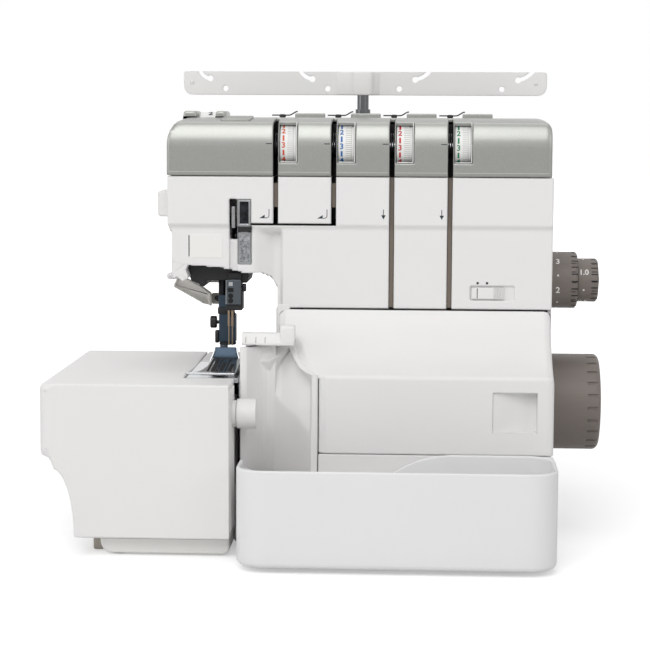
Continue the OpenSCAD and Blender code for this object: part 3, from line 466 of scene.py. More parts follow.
# %% Moulded wall
def wall_piece(name, us, vs, surface, inside, material, roll=1.2, depth=4.0, body="root", flip=False):
    """Moulded wall: surface(u, v) gives point and inward unit vector, inside(u, v) the distance d from the
    edge. The face drops by roll - sqrt(roll^2 - (roll - d)^2) near the edge, and by depth beyond it."""
    u, v = np.meshgrid(us, vs, indexing="ij")
    d = inside(u, v)
    e = 0.004
    gu = (inside(u + e, v) - inside(u - e, v)) / (2 * e)
    gv = (inside(u, v + e) - inside(u, v - e)) / (2 * e)
    out = d < 0.0
    near = np.abs(d) < 0.25 * roll
    snap = out | (near & (np.abs(np.abs(gu) + np.abs(gv) - 1) > 0.02))
    uu, vv = np.where(snap, u - gu * d, u), np.where(snap, v - gv * d, v)
    edge = np.clip(np.where(snap, 0.0, d), 0, roll)
    drop = roll - np.sqrt(roll ** 2 - (roll - edge) ** 2)
    deep = depth(uu, vv) if callable(depth) else depth
    drop = np.where(out, deep, drop)
    point, inward = surface(uu, vv)
    points = point + inward * drop[..., None]
    rows, cols = u.shape
    index = np.arange(rows * cols).reshape(rows, cols)
    kept = ~(out[:-1, :-1] & out[1:, :-1] & out[1:, 1:] & out[:-1, 1:])
    quads = np.stack([index[:-1, :-1], index[1:, :-1], index[1:, 1:], index[:-1, 1:]], -1)[kept]
    if flip:
        quads = quads[:, ::-1]
    return mesh_piece(name, points, quads, material, body)


print("wall helper ready")

# %% [markdown]
# ## Small mouldings
# Most small parts are one outline carried a short way with rolled ends, as a die-cast or moulded
# part leaves its tool. They are rings of equal length, joined in order and closed with flat ends.
# A slab is the most common case, a plate with rounded corners across one axis.

# %% Rings, prisms and slabs
def on_front(outline, y):
    """Outline of X and Z at one depth."""
    return np.stack([outline[:, 0], np.full(len(outline), float(y)), outline[:, 1]], -1)


def on_side(outline, x):
    """Outline of Y and Z at one X."""
    return np.stack([np.full(len(outline), float(x)), outline[:, 0], outline[:, 1]], -1)


def on_floor(outline, z):
    """Outline of X and Y at one height."""
    return np.stack([outline[:, 0], outline[:, 1], np.full(len(outline), float(z))], -1)


def ring_piece(name, rings, material, body="root", cap=(True, True), smooth=40.0):
    """Closed rings of equal length joined in order, with flat ends, turned about if the volume is below 0."""
    rings = np.asarray(rings, float)
    count, size = rings.shape[:2]
    index = np.arange(count * size).reshape(count, size)
    nxt = np.roll(index, -1, 1)
    quads = np.stack([index[:-1], nxt[:-1], nxt[1:], index[1:]], -1).reshape(-1, 4)
    faces = [tuple(q) for q in quads]
    if cap[0]:
        faces.append(tuple(index[0][::-1]))
    if cap[1]:
        faces.append(tuple(index[-1]))
    flat = rings.reshape(-1, 3)
    arms = flat - flat.mean(0)
    volume = 0.0
    for f in (quads[:, [0, 1, 2]], quads[:, [0, 2, 3]]):
        a, b, c = arms[f[:, 0]], arms[f[:, 1]], arms[f[:, 2]]
        volume += np.einsum("ij,ij->i", a, np.cross(b, c)).sum()
    if volume < 0:
        faces = [f[::-1] for f in faces]
    return mesh_piece(name, flat, faces, material, body, smooth)


def rolled_stack(outline, start, end, roll_start, roll_end, place, steps=6):
    """Rings of an outline from start to end whose ends roll over: inset r(1 - sin a) at depth r(1 - cos a),
    and one ring further in on each rolled end, which keeps the flat end's shading apart from the roll."""
    direction = 1.0 if end > start else -1.0
    quarter = np.linspace(0, math.pi / 2, steps + 1)

    def end_rings(level, toward, r, angles):
        """Rings of one end, in the order of the angles."""
        return [place(inset(outline, r * (1 - math.sin(a))), level + toward * r * (1 - math.cos(a)))
                for a in (angles if r else [math.pi / 2])]

    first = [place(inset(outline, roll_start * 1.02 + 0.3), start)] if roll_start else []
    last = [place(inset(outline, roll_end * 1.02 + 0.3), end)] if roll_end else []
    return (first + end_rings(start, direction, roll_start, quarter)
            + end_rings(end, -direction, roll_end, quarter[::-1]) + last)


def prism(name, outline, start, end, rolls, place, material, body="root", steps=4):
    """A closed outline carried from start to end, whose two ends roll over by the two radii."""
    return ring_piece(name, rolled_stack(outline, start, end, *rolls, place, steps), material, body)


def slab(name, low, high, axis, radius, roll, material, body="root"):
    """Thin moulded plate between two corners, with rounded outline and rolled faces across one axis."""
    a, b = [(1, 2), (0, 2), (0, 1)][axis]
    outline = rounded(box(low[a], low[b], high[a], high[b]), radius, 5)
    place = (on_side, on_front, on_floor)[axis]
    return prism(name, outline, low[axis], high[axis], (roll, roll), place, material, body)


print("ring helpers ready")

# %% [markdown]
# ## White front of the head and column
# The front is one moulding: five panels side by side, parted by four thread slots. The upper
# panels stand 2.5 mm proud of the rest, and the two left ones end above the step. The take-up
# lever has a slot with a shallow groove under it, and the neck is hollowed toward the needle. It
# is made as a height field over X and Z, because every one of those is a change of depth.

# %% Front moulding
HEAD_LEFT, COLUMN_RIGHT, SILVER_Z, TOP_Z = -105.2, 150.0, 242.7, 281.5
SEAM_Z, STEP_Z, STEP_IN = 155.0, 211.2, 2.5
SLOTS = [-34.8 + 38.4 * i for i in range(4)]
SLOT_W = 3.3
STEP_GAP_LOW, STEP_GAP_HIGH = STEP_Z - 1.4, STEP_Z + 0.1
TAKE_UP_LOW, TAKE_UP_HIGH = (-64.0, 200.3), (-58.7, 227.2)
GUIDE_LOW, GUIDE_HIGH = (-58.4, 183.9), (-49.4, 226.9)
SLIDER_LOW, SLIDER_HIGH = (96.1, 161.2), (125.3, 170.6)
TOPS_LINE = 226.6  # a crowd of grid lines here serves the tops of both openings in the head
NECK_X, NECK_DEPTH = -28.4, 9.0
GROOVE_TOP, GROOVE_DEPTH = 203, 2.6
FRONT_GRID, FRONT_ROLL = 1.3, 1.0
REAR_HALF, UNDER_HEAD, OPENING_WALL = 55.6, 8.0, 4.4  # how far back the walls go

neck_arc = [(-45 + 12 * math.cos(t), 165 + 12 * math.sin(t)) for t in np.linspace(math.pi / 2, 0, 10)]
front_outline = rounded(
    [(HEAD_LEFT, SILVER_Z - 0.5), (HEAD_LEFT, 210), (-103.7, 205), (-103.7, 183.8), (-72, 181.3),
     (-53, 177.3)] + neck_arc + [(-33, SEAM_Z), (COLUMN_RIGHT, SEAM_Z), (COLUMN_RIGHT, SILVER_Z - 0.5)],
    [0.6, 3, 3, 5, 8, 6] + [0] * 10 + [0.2, 0.2, 0.6],
)


def front_edge(x, z):
    """Distance from the nearest edge of the front: its outline, slots, step gap and three openings."""
    d = -outline_distance(x, z, front_outline)
    for slot_x, low in zip(SLOTS, (STEP_Z - 1.2, STEP_Z - 1.2, SEAM_Z - 9, SEAM_Z - 9)):
        d = np.minimum(d, box_distance(x, z, (slot_x, low), (slot_x + SLOT_W, SILVER_Z + 9)))
    d = np.minimum(d, box_distance(x, z, (-50, STEP_GAP_LOW), (SLOTS[1] + SLOT_W, STEP_GAP_HIGH), 0.2))
    d = np.minimum(d, box_distance(x, z, TAKE_UP_LOW, TAKE_UP_HIGH, 1.0))
    d = np.minimum(d, box_distance(x, z, GUIDE_LOW, GUIDE_HIGH, 0.6))
    return np.minimum(d, box_distance(x, z, SLIDER_LOW, SLIDER_HIGH, 1.0))


def front_surface(x, z):
    """Depth = the step under the upper panels + the take-up groove + the hollow of the neck."""
    y = STEP_IN * (1 - smooth_step(STEP_Z - 4.0, STEP_Z, z))
    groove = (x > TAKE_UP_LOW[0] - 0.02) & (x < TAKE_UP_HIGH[0] + 0.02) & (z < GROOVE_TOP)
    y = y + GROOVE_DEPTH * groove
    hollow = smooth_step(-49.4, -34.0, x) * (1 - smooth_step(-31.0, -28.2, x))
    hollow = hollow * (1 - smooth_step(204, 208.2, z))
    side = 1 - smooth_step(-32.6, NECK_X, x)
    y = y + NECK_DEPTH * np.where(x < -28.2, np.maximum(hollow, 0.65 * side * (z < 170)), 0.0)
    point = np.stack([x, y, z], -1)
    return point, np.broadcast_to(np.array([0.0, 1.0, 0.0]), point.shape)


def front_depth(x, z):
    """How far each wall goes back: the outer wall to the rear half, those of openings a few millimetres."""
    outer = np.abs(outline_distance(x, z, front_outline)) < 0.4
    under_head = (z < 190) & (x > -98) & (x < -51.5)
    return np.where(outer, np.where(under_head, UNDER_HEAD, REAR_HALF), OPENING_WALL)


front_x = lines(HEAD_LEFT - 0.02, COLUMN_RIGHT + 0.02, FRONT_GRID,
                [HEAD_LEFT, TAKE_UP_LOW[0], TAKE_UP_HIGH[0], GUIDE_LOW[0], GUIDE_HIGH[0], NECK_X,
                 SLIDER_LOW[0], SLIDER_HIGH[0], COLUMN_RIGHT] + [s + o for s in SLOTS for o in (0, SLOT_W)],
                FRONT_ROLL)
front_z = lines(SEAM_Z - 0.02, SILVER_Z - 0.48, FRONT_GRID,
                [SEAM_Z, SLIDER_LOW[1], SLIDER_HIGH[1], GUIDE_LOW[1], TAKE_UP_LOW[1], STEP_GAP_LOW,
                 STEP_GAP_HIGH, TOPS_LINE, SILVER_Z - 0.5], FRONT_ROLL)
front_piece = wall_piece("front_moulding", front_x, front_z, front_surface, front_edge, "white_shell",
                         FRONT_ROLL, front_depth)
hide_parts("front_cover")
print("front moulding:", len(front_piece.data.polygons), "faces")

# %% [markdown]
# ## Silver cover
# The lacquered cover is a long shell: upright at the front, leaning back near the top, then a soft
# crease and a gentle slope. It is a profile of Y and Z carried along X, whose height follows a
# curve at the left end and a tighter one at the right. The thread slots run up over it, and four
# windows show the tension dials. A fifth opening lets the foot-pressure dial through.

# %% Silver cover
cover_left, cover_right = HEAD_LEFT - 0.3, COLUMN_RIGHT - 1.3
silver_profile = np.array([
    (-0.8, SILVER_Z), (-0.8, 247), (-0.8, 252), (-0.8, 258), (-0.78, 263), (-0.5, 266.6), (0.05, 269.4),
    (0.8, 271.8), (1.65, 273.9), (2.5, 275.6), (3.3, 276.9), (3.8, 277.6), (4.4, 278.1), (5.6, 278.6),
    (8, 279.2), (12, 280.0), (18, 280.7), (26, 281.6), (36, 282.2), (45, 282.5), (60, 282.5), (80, 281.5),
    (91, 281.5), (95.2, 280.7), (98.8, 278.3), (101.1, 274.7), (102, 270.5), (102, 262), (102, 252),
    (102, SILVER_Z),
])
profile_run = run_length(silver_profile)
front_rise, back_slope = silver_profile[:15], silver_profile[12:24]
SLOT_RUN = float(np.interp(31.5, silver_profile[:, 0], profile_run))
WINDOW_X = (4.2, 16.0)  # of each dial window, from the left side of its thread slot
WINDOW_RUN = (251.4 - SILVER_Z, float(np.interp(278.3, front_rise[:, 1], profile_run[:15])))
SILL_RUN = 7.9  # a crowd of grid lines just under the windows keeps their sills straight
PRESSURE_LOW, PRESSURE_HIGH = (-87.6, 66), (-74.7, 93.5)  # over X and run length
LEFT_ROUND, RIGHT_ROUND = (14.0, 19.5), (9.0, 10.0)  # half axes along X and Z
SQUEEZE_Z, SQUEEZE_SOFT = 250, 1.2
END_ROLL, SILVER_ROLL, SILVER_WALL = 2.2, 0.8, 2.4


def silver_height(x):
    """Highest Z at each X: a quarter ellipse at each end."""
    a = np.clip((x - cover_left) / LEFT_ROUND[0], 0, 1)
    b = np.clip((cover_right - x) / RIGHT_ROUND[0], 0, 1)
    left = TOP_Z - LEFT_ROUND[1] * (1 - np.sqrt(np.clip(1 - (1 - a) ** 2, 0, 1)))
    right_end = TOP_Z - RIGHT_ROUND[1] * (1 - np.sqrt(np.clip(1 - (1 - b) ** 2, 0, 1)))
    return np.minimum(left, right_end)


def silver_surface(x, run):
    """Point on the profile at a run length, squeezed under the height curve by a soft minimum, and pulled
    in by a quarter circle at both ends; inward is across the profile."""
    y, z, ty, tz = along_path(run, profile_run, silver_profile, 0.4)
    top, level, soft = silver_height(x), SQUEEZE_Z, SQUEEZE_SOFT
    squeezed = -soft * np.log(np.exp(-(z - level) / soft) + np.exp(-(top - level) / soft)) + level
    z = np.minimum(np.where(z > level, squeezed, z), top)
    end = np.minimum(np.clip((x - cover_left) / END_ROLL, 0, 1), np.clip((cover_right - x) / END_ROLL, 0, 1))
    pull = END_ROLL * (1 - np.sqrt(1 - (1 - end) ** 2))
    inward = np.stack([np.zeros_like(y), tz, -ty], -1)
    return np.stack([x, y, z], -1) + inward * pull[..., None], inward


def silver_edge(x, run):
    """Distance from the ends of the shell and from its openings, over X and run length."""
    d = -box_distance(x, run, (cover_left, 0), (cover_right, profile_run[-1]))
    for slot_x in SLOTS:
        d = np.minimum(d, box_distance(x, run, (slot_x, -9), (slot_x + SLOT_W, SLOT_RUN)))
        d = np.minimum(d, box_distance(x, run, (slot_x + WINDOW_X[0], WINDOW_RUN[0]),
                                       (slot_x + WINDOW_X[1], WINDOW_RUN[1]), 0.3))
    return np.minimum(d, box_distance(x, run, PRESSURE_LOW, PRESSURE_HIGH, 0.5))


silver_x = lines(cover_left - 0.02, cover_right + 0.02, 2.2,
                 [cover_left, PRESSURE_LOW[0], PRESSURE_HIGH[0], cover_right]
                 + [s + o for s in SLOTS for o in (0, SLOT_W, *WINDOW_X)], SILVER_ROLL)
silver_run = lines(-0.02, profile_run[-1] + 0.02, 1.6,
                   [0, SILL_RUN, SLOT_RUN, PRESSURE_LOW[1], PRESSURE_HIGH[1], profile_run[-1], WINDOW_RUN[1]],
                   SILVER_ROLL)
silver_piece = wall_piece("silver_cover", silver_x, silver_run, silver_surface, silver_edge, "silver_shell",
                          SILVER_ROLL, SILVER_WALL)
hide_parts("top_cover")
for label, side_x, turned in (("left", cover_left + 0.9, -1), ("right", cover_right - 0.9, 1)):
    end_ring, _ = silver_surface(np.full(90, side_x), np.linspace(0, profile_run[-1], 90))
    mesh_piece("silver_end_" + label, end_ring, [tuple(range(90))[::turned]], "silver_shell")
print("silver cover:", len(silver_piece.data.polygons), "faces")

# %% [markdown]
# ## Looper cover
# The lower right front is one door: a hollow slope under the seam, a soft edge, then an upright
# panel with a finger grip. Its left end is cut on a slant, so that the needles stay in reach. It
# is a profile of Y and Z carried along X, like the silver cover. The left end is sheared to the
# slanted plan, and the grip is a change of depth that grows to the right.

# %% Looper cover
FRONT_Y, EDGE_Z, LOW_Z = -45.0, 116.5, 65.4
ARC_Y, ARC_Z, ARC_R = -56, 176, 61
DOOR_ROLL, DOOR_WALL = 0.9, 2.4
LEFT_DRAW, RIGHT_ROLL = (3.0, 4.6), (4.6, 5.4)  # how far the ends are drawn in, over which width
GRIP_EDGE, GRIP_DEPTH = 1.2, 7.0
slope_angle = np.radians(np.linspace(-21.0, -76.0, 22))
cover_profile = np.concatenate([
    [[2.2, 154.3]],
    np.stack([ARC_Y + ARC_R * np.cos(slope_angle), ARC_Z + ARC_R * np.sin(slope_angle)], -1),
    [[-42.6, 116.6], [-43.8, 116.1], [-44.6, 115.3], [-45.0, 114.0], [-45.0, 111.0]],
    np.stack([np.full(12, FRONT_Y), np.linspace(107, LOW_Z, 12)], -1),
])
cover_run = run_length(cover_profile)
GRIP_LOW, GRIP_HIGH = (110.2, 80.0), (138.7, 106.2)
LEFT_U, RIGHT_U = 0.0, 149.6
SLANT_PLAN = np.array([(-45, -1.8), (-41, -5.4), (-34, -10.2), (-22, -15.6), (-13, -19.3), (-7, -24.0),
                       (-4, -30.4), (3, -31.0)])  # Y and X of the left end


def run_at(z):
    """Run length at which the door's profile passes a height."""
    return float(np.interp(-z, -cover_profile[:, 1], cover_run))


def slant_x(y):
    """Left end in plan: further left the further back."""
    return np.interp(y, SLANT_PLAN[:, 0], SLANT_PLAN[:, 1])


def cover_surface(u, run):
    """Profile + rounded left and right corners + the grip, sheared to the slant near the left end."""
    y, z, ty, tz = along_path(run, cover_run, cover_profile, 0.3)
    shear = slant_x(y) * (1 - smooth_step(4.0, 46.0, u))
    left = LEFT_DRAW[0] * (1 - np.clip(u / LEFT_DRAW[1], 0, 1))
    right_end = RIGHT_ROLL[0] * (1 - np.sqrt(1 - np.clip(1 - (RIGHT_U - u) / RIGHT_ROLL[1], 0, 1) ** 2))
    grip = (u > GRIP_LOW[0]) & (u < GRIP_HIGH[0]) & (z > GRIP_LOW[1]) & (z < GRIP_HIGH[1])
    across = np.clip((u - GRIP_LOW[0]) / (GRIP_HIGH[0] - GRIP_LOW[0]), 0, 1)
    floor_depth = GRIP_EDGE + GRIP_DEPTH * np.sin(0.5 * math.pi * np.clip(across * 1.15, 0, 1)) ** 1.6
    inward = np.stack([np.zeros_like(y), -tz, ty], -1)
    point = np.stack([u + shear, y, z], -1) + inward * (left + right_end)[..., None]
    point[..., 1] += np.where(grip, floor_depth, 0.0)
    return point, inward


def cover_edge(u, run):
    """Distance from the four edges of the door."""
    return -box_distance(u, run, (LEFT_U, 0.0), (RIGHT_U, cover_run[-1]))


cover_u = lines(LEFT_U - 0.02, RIGHT_U + 0.02, 2.0, [LEFT_U, GRIP_LOW[0], GRIP_HIGH[0], RIGHT_U], DOOR_ROLL)
cover_u = np.unique(np.concatenate([cover_u, np.linspace(0.6, 5.0, 9), np.linspace(144, 149.3, 9)]))
cover_v = lines(-0.02, cover_run[-1] + 0.02, 2.0,
                [0, run_at(GRIP_HIGH[1]), run_at(GRIP_LOW[1]), cover_run[-1]], DOOR_ROLL)
cover_v = np.unique(np.concatenate([cover_v, cover_run[20:30]]))
cover_piece = wall_piece("looper_door", cover_u, cover_v, cover_surface, cover_edge, "white_shell",
                         DOOR_ROLL, DOOR_WALL, "looper_cover")
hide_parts("looper_cover")
end_outline = np.concatenate([cover_profile[::3] + [0.9, -0.7], [[-43.6, LOW_Z + 0.6], [2.0, LOW_Z + 0.6]]])
prism("looper_door_end", end_outline, 145.6, 148.2, (0.2, 0.4), on_side, "white_shell", "looper_cover", 3)
for start in (12.0, 126.0):
    prism("door_eye", circle(-39.5, 72.5, 3.2), start, start + 8, (0.5, 0.5), on_side, "white_shell",
          "looper_cover", 3)
print("looper door:", len(cover_piece.data.polygons), "faces")

# %% [markdown]
# ## Scrap chute
# Left of the door a white hollow leads the cut edges of the cloth down into the tray. The solid
# is a block with a tilted cylinder cut out of it. The skin here is finer: a thin rim follows the
# slanted door, and the wall behind it bends back to the left. A slanting ridge parts its upright
# lower half from a lobe that leans back, and above a valley the wall comes forward again, up to
# the lip of the seam guide.

# %% Scrap chute
CHUTE_LEFT, CHUTE_TOP, CHUTE_LOW, RIM = -49.2, 131.6, 46.0, 4.2
RIDGE = np.array([(-49.2, 112.0), (-34.5, 107.0), (-27.6, 95.0), (-15.2, 86.3), (-6.5, 77.0), (0.0, 71.0)])
VALLEY = np.array([(-49.2, 104.0), (-34.5, 110.0), (-21.0, 132.0), (0.0, 166.0)])
LEAN = 0.42  # how fast the wall leans back above the ridge


def slope_y(z):
    """Depth of the door's outer face at each height: its arc, or the upright panel."""
    arc_y = ARC_Y + ARC_R * np.cos(np.arcsin(np.clip((z - ARC_Z) / ARC_R, -1, 1)))
    return np.where(z > EDGE_Z, arc_y, FRONT_Y)


def chute_shape(x, z):
    """Wall that bends back to the left; above a slanting ridge it leans back by LEAN * height, with a soft
    start, and above a valley it comes forward again to the lip at the top."""
    far = np.clip((-6.5 - x) / 40.0, 0, 1)
    wall_y = -44.0 + 27.0 * np.sin(0.5 * math.pi * far) ** 0.9
    ridge_z, valley_z = (np.interp(x, line[:, 0], line[:, 1]) for line in (RIDGE, VALLEY))
    lobe = LEAN * (np.sqrt((z - ridge_z) ** 2 + 5.0) + (z - ridge_z) - 1.0) * 0.5
    deepest = LEAN * np.maximum(valley_z - ridge_z, 0.0)
    lip_y = -31.0 + 10.0 * smooth_step(-24.0, -12.0, x)
    climb = np.clip((z - valley_z) / np.maximum(CHUTE_TOP - valley_z, 4.0), 0, 1)
    forward = (wall_y + deepest - lip_y) * climb ** 1.25
    return wall_y + np.minimum(lobe, deepest) - forward


def chute_surface(u, z):
    """Rim beside the door, then the shaped wall, over the share of the way from left edge to door."""
    rim_y = np.maximum(slope_y(z) + 0.8, -44.2)
    edge_x = slant_x(rim_y - 0.6) - 0.4
    x = CHUTE_LEFT + (edge_x - CHUTE_LEFT) * u
    s = edge_x - x
    shape = np.maximum(chute_shape(x, z), rim_y + 0.2 * (s > RIM))
    y = rim_y + (shape - rim_y) * smooth_step(RIM - 0.4, RIM + 1.0, s)
    y = y + 0.8 * (1 - np.clip(s / 0.8, 0, 1)) ** 2
    left = CHUTE_LEFT + 1.2 - x
    y = y + 1.2 * np.clip(left / 1.2, 0, 1) ** 2
    point = np.stack([x, y, z], -1)
    return point, np.broadcast_to(np.array([0.0, 1.0, 0.0]), point.shape)


def closed_sheet(front, back):
    """Points and quads of two grids of points, front and back, joined along their four sides."""
    rows, cols = front.shape[:2]
    first = np.arange(rows * cols).reshape(rows, cols)
    second = first + rows * cols

    def grid(i, turned):
        """Quads of one whole grid."""
        quads = np.stack([i[:-1, :-1], i[1:, :-1], i[1:, 1:], i[:-1, 1:]], -1).reshape(-1, 4)
        return np.roll(quads[:, ::-1], 1, 1) if turned else quads

    def side(a, b, turned):
        """Strip of quads between two grid lines of equal length."""
        quads = np.stack([a[:-1], a[1:], b[1:], b[:-1]], -1)
        return quads[:, ::-1] if turned else quads

    faces = [grid(first, False), grid(second, True),
             side(first[0], second[0], False), side(first[-1], second[-1], True),
             side(first[:, 0], second[:, 0], True), side(first[:, -1], second[:, -1], False)]
    return np.concatenate([front.reshape(-1, 3), back.reshape(-1, 3)]), np.concatenate(faces)


chute_u, chute_z = np.meshgrid(
    np.unique(np.concatenate([np.linspace(0, 0.05, 6), np.linspace(0, 1, 60), np.linspace(0.84, 1.0, 40)])),
    np.linspace(CHUTE_LOW, CHUTE_TOP, 110), indexing="ij")
chute_front, _ = chute_surface(chute_u, chute_z)
chute_back = chute_front.copy()
chute_back[..., 1] = np.maximum(chute_front[..., 1] + 2.0, -10.0)
chute_piece = mesh_piece("chute_hollow", *closed_sheet(chute_front, chute_back), "white_shell", "root", 32.0)
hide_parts("scrap_chute")
slab("chute_panel", (CHUTE_LEFT, -44.4, 17.0), (148.0, -42.8, 45.8), 1, 2.0, 0.5, "white_shell")
slab("door_sill", (-1.8, -44.6, 45.9), (149.6, -42.9, 65.0), 1, 1.0, 0.5, "white_shell")
slab("chute_ledge", (-1.8, -42.7, 58.0), (145.9, -28.2, 60.4), 2, 1.5, 0.5, "white_shell")
slab("chute_inner_panel", (-1.8, -29.9, 60.5), (146.4, -28.0, 75.3), 1, 1.2, 0.5, "white_shell")
for arm_x in (5.0, 141.2):
    slab("hinge_arm", (arm_x, -42.3, 70.2), (arm_x + 2.4, -30.2, 75.3), 0, 2.4, 0.4, "white_shell")
print("scrap chute:", len(chute_piece.data.polygons), "faces")

# %% [markdown]
# ## Seam guide
# A white step in front of the needles ends in a steep face with three short marks for the seam
# allowance, and a taller riser beside it guides the cloth. Each is an outline of Y and Z carried
# along X with rolled ends; the marks are thin inlays in the steep face.

# %% Seam guide
step_outline = rounded([(-52.9, -30), (-18.6, -30), (-18.6, -14.4), (-32.6, -14.4), (-32.6, 33), (-52.9, 33)],
                       [1.4, 1.4, 1, 1, 1, 1.5], 4)
step_piece = prism("seam_step", step_outline, 133.4, 135.0, (0.4, 0.4), on_floor, "white_shell", steps=5)
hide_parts("seam_guide")
face_outline = rounded([(-29.9, 134.2), (-26.6, 141.3), (-21.0, 141.3), (-12.0, 134.2)], [0.3, 1.2, 3, 0.3])
riser_outline = rounded([(-29.4, 134.9), (-28.2, 146.2), (-19.0, 146.2), (-13.6, 134.9)], [0.3, 2, 3, 0.3])
mark_outline = rounded([(-29.68, 135.0), (-27.9, 138.8), (-27.4, 138.6), (-29.2, 134.8)], 0.15, 2)
prism("seam_face", face_outline, -52.9, -26.0, (0.5, 0.5), on_side, "white_shell", steps=5)
prism("seam_riser", riser_outline, -28.0, -18.4, (0.6, 0.6), on_side, "white_shell", steps=5)
slab("seam_wall", (-52.4, -5.8, 113.2), (-49.4, 33.0, 133.5), 0, 1.5, 0.6, "white_shell")
for mark_x in (-50.2, -43.6, -37.6):
    prism("seam_mark", mark_outline, mark_x - 0.2, mark_x + 0.2, (0, 0), on_side, "grey_plastic")
slab("chute_end_wall", (146.2, -42.4, 13.2), (148.2, 2.2, 64.6), 0, 1.5, 0.5, "white_shell")
print("seam guide and marks")

# %% [markdown]
# ## Waste tray
# The tray is one thin moulding with 18 mm corners and a soft lower edge. Its rim is level along
# the front; the rear wall stands high on the right and falls to the left in a long curve. Rings
# of one outline run up the outside, over the rim and down the inside, and the rim's height is a
# function of where the ring point lies.

# %% Waste tray
TRAY_LEFT, TRAY_RIGHT, TRAY_FRONT, TRAY_BACK = -50.5, 149.5, -107.0, -46.0
TRAY_LOW, TRAY_FLOOR, TRAY_WALL = 3.4, 5.8, 2.2
OUTER_ROLL, INNER_ROLL, RIM_ROLL = 4.0, 3.5, 1.1


def tray_outline():
    """Rounded rectangle with many points along its straight sides."""
    corner = rounded(box(TRAY_LEFT, TRAY_FRONT, TRAY_RIGHT, TRAY_BACK), 18.0, 12)
    closed = np.concatenate([corner, corner[:1]])
    run = run_length(closed)
    extra = np.unique(np.concatenate([run[:-1], np.arange(0, run[-1], 3.0)]))
    extra = extra[np.concatenate([[True], np.diff(extra) > 0.4])]
    return np.stack([np.interp(extra, run, closed[:, 0]), np.interp(extra, run, closed[:, 1])], -1)


def tray_rim(p):
    """Rim height: 65 along the front; at the rear 66 on the right, then an arc down to about 53, a level
    stretch near 50, and up to 58 at the left corner."""
    arc_z = 24 + 42 * np.sqrt(np.clip(1 - ((np.minimum(p[:, 0], 86) - 86) / 56) ** 2, 0.48, None))
    rear = np.where(p[:, 0] > 45, arc_z, 50 + 3 * smooth_step(30, 45, p[:, 0]))
    rear = np.where(p[:, 0] < TRAY_LEFT + 14, 50 + 8 * smooth_step(TRAY_LEFT + 14, TRAY_LEFT, p[:, 0]), rear)
    back = smooth_step(-68.5, -63.5, p[:, 1])
    return 65.0 + (rear - 65.0) * back


def tray_ring(inward, height):
    """The outline moved inward, at one height or at a height for each of its points."""
    return np.column_stack([inset(plan, inward), np.broadcast_to(height, len(plan))])


plan = tray_outline()
rim_z = tray_rim(plan) - RIM_ROLL  # where the rim starts to roll over
outer_low, inner_low = TRAY_LOW + OUTER_ROLL, TRAY_FLOOR + INNER_ROLL
tray_rings = [tray_ring(9.0, TRAY_LOW)]
tray_rings += [tray_ring(OUTER_ROLL * (1 - math.sin(t)), TRAY_LOW + OUTER_ROLL * (1 - math.cos(t)))
               for t in np.linspace(0, math.pi / 2, 7)]
tray_rings += [tray_ring(0.0, outer_low + (rim_z - outer_low) * t) for t in np.linspace(0.15, 1, 9)]
tray_rings += [tray_ring(RIM_ROLL - RIM_ROLL * math.cos(t), rim_z + RIM_ROLL * math.sin(t))
               for t in np.linspace(0.2, math.pi - 0.2, 7)]
tray_rings += [tray_ring(TRAY_WALL, inner_low + (rim_z - inner_low) * t) for t in np.linspace(1, 0, 9)]
tray_rings += [tray_ring(TRAY_WALL + INNER_ROLL * (1 - math.cos(t)), inner_low - INNER_ROLL * math.sin(t))
               for t in np.linspace(0.2, math.pi / 2, 6)]
tray_rings.append(tray_ring(10.0, TRAY_FLOOR))
tray_piece = ring_piece("tray_shell", tray_rings, "tray_white", "waste_tray")
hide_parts("waste_tray")
print("tray:", len(tray_piece.data.polygons), "faces")

# %% [markdown]
# ## Side cover
# The door on the left carries the flat working surface. Its top is dished a little where the hand
# rests, its front left corner is rounded, and below the shoulder the wall sweeps inward in a long
# curve. It is an outline of X and Z carried from front to back. The front rolls over with a
# radius that is small along the top and large down the left corner.

# %% Side cover
SIDE_LEFT, SIDE_RIGHT, SIDE_FRONT, SIDE_BACK, BED_Z = -178.4, -57.0, -72.0, 102.0, 112.8
NOTCH = (-38.4, -89.9)
SIDE_ROLL, SIDE_WALL, SIDE_LOW = 0.9, 2.5, 13.5
DISH_CENTRE, DISH_HALF, DISH_DEPTH = (-103, 30), (38.0, 42.0), 1.6
sweep = np.radians(np.linspace(0, 90, 15))[1:]
bend = np.radians(np.linspace(97, 173, 8))
side_path = np.concatenate([
    np.stack([np.linspace(SIDE_RIGHT, SIDE_LEFT + 4.5, 44), np.full(44, BED_Z)], -1),
    np.stack([SIDE_LEFT + 4 + 4 * np.cos(bend), BED_Z - 4 + 4 * np.sin(bend)], -1),
    np.stack([np.full(10, SIDE_LEFT), np.linspace(106, 69, 10)], -1),
    [[SIDE_LEFT + 0.5, 67.0], [SIDE_LEFT + 1.6, 65.9], [SIDE_LEFT + 3.4, 65.3], [SIDE_LEFT + 5.6, 64.6],
     [SIDE_LEFT + 7.2, 62.6]],
    np.stack([SIDE_LEFT + 7.8 + 14 * np.sin(sweep), 58 - 43.5 * (1 - np.cos(sweep))], -1),
    [[SIDE_LEFT + 22.6, SIDE_LOW + 0.2], [SIDE_LEFT + 24.4, SIDE_LOW]],
    np.stack([np.linspace(SIDE_LEFT + 28, SIDE_RIGHT, 26), np.full(26, SIDE_LOW)], -1),
])
side_run = run_length(side_path)


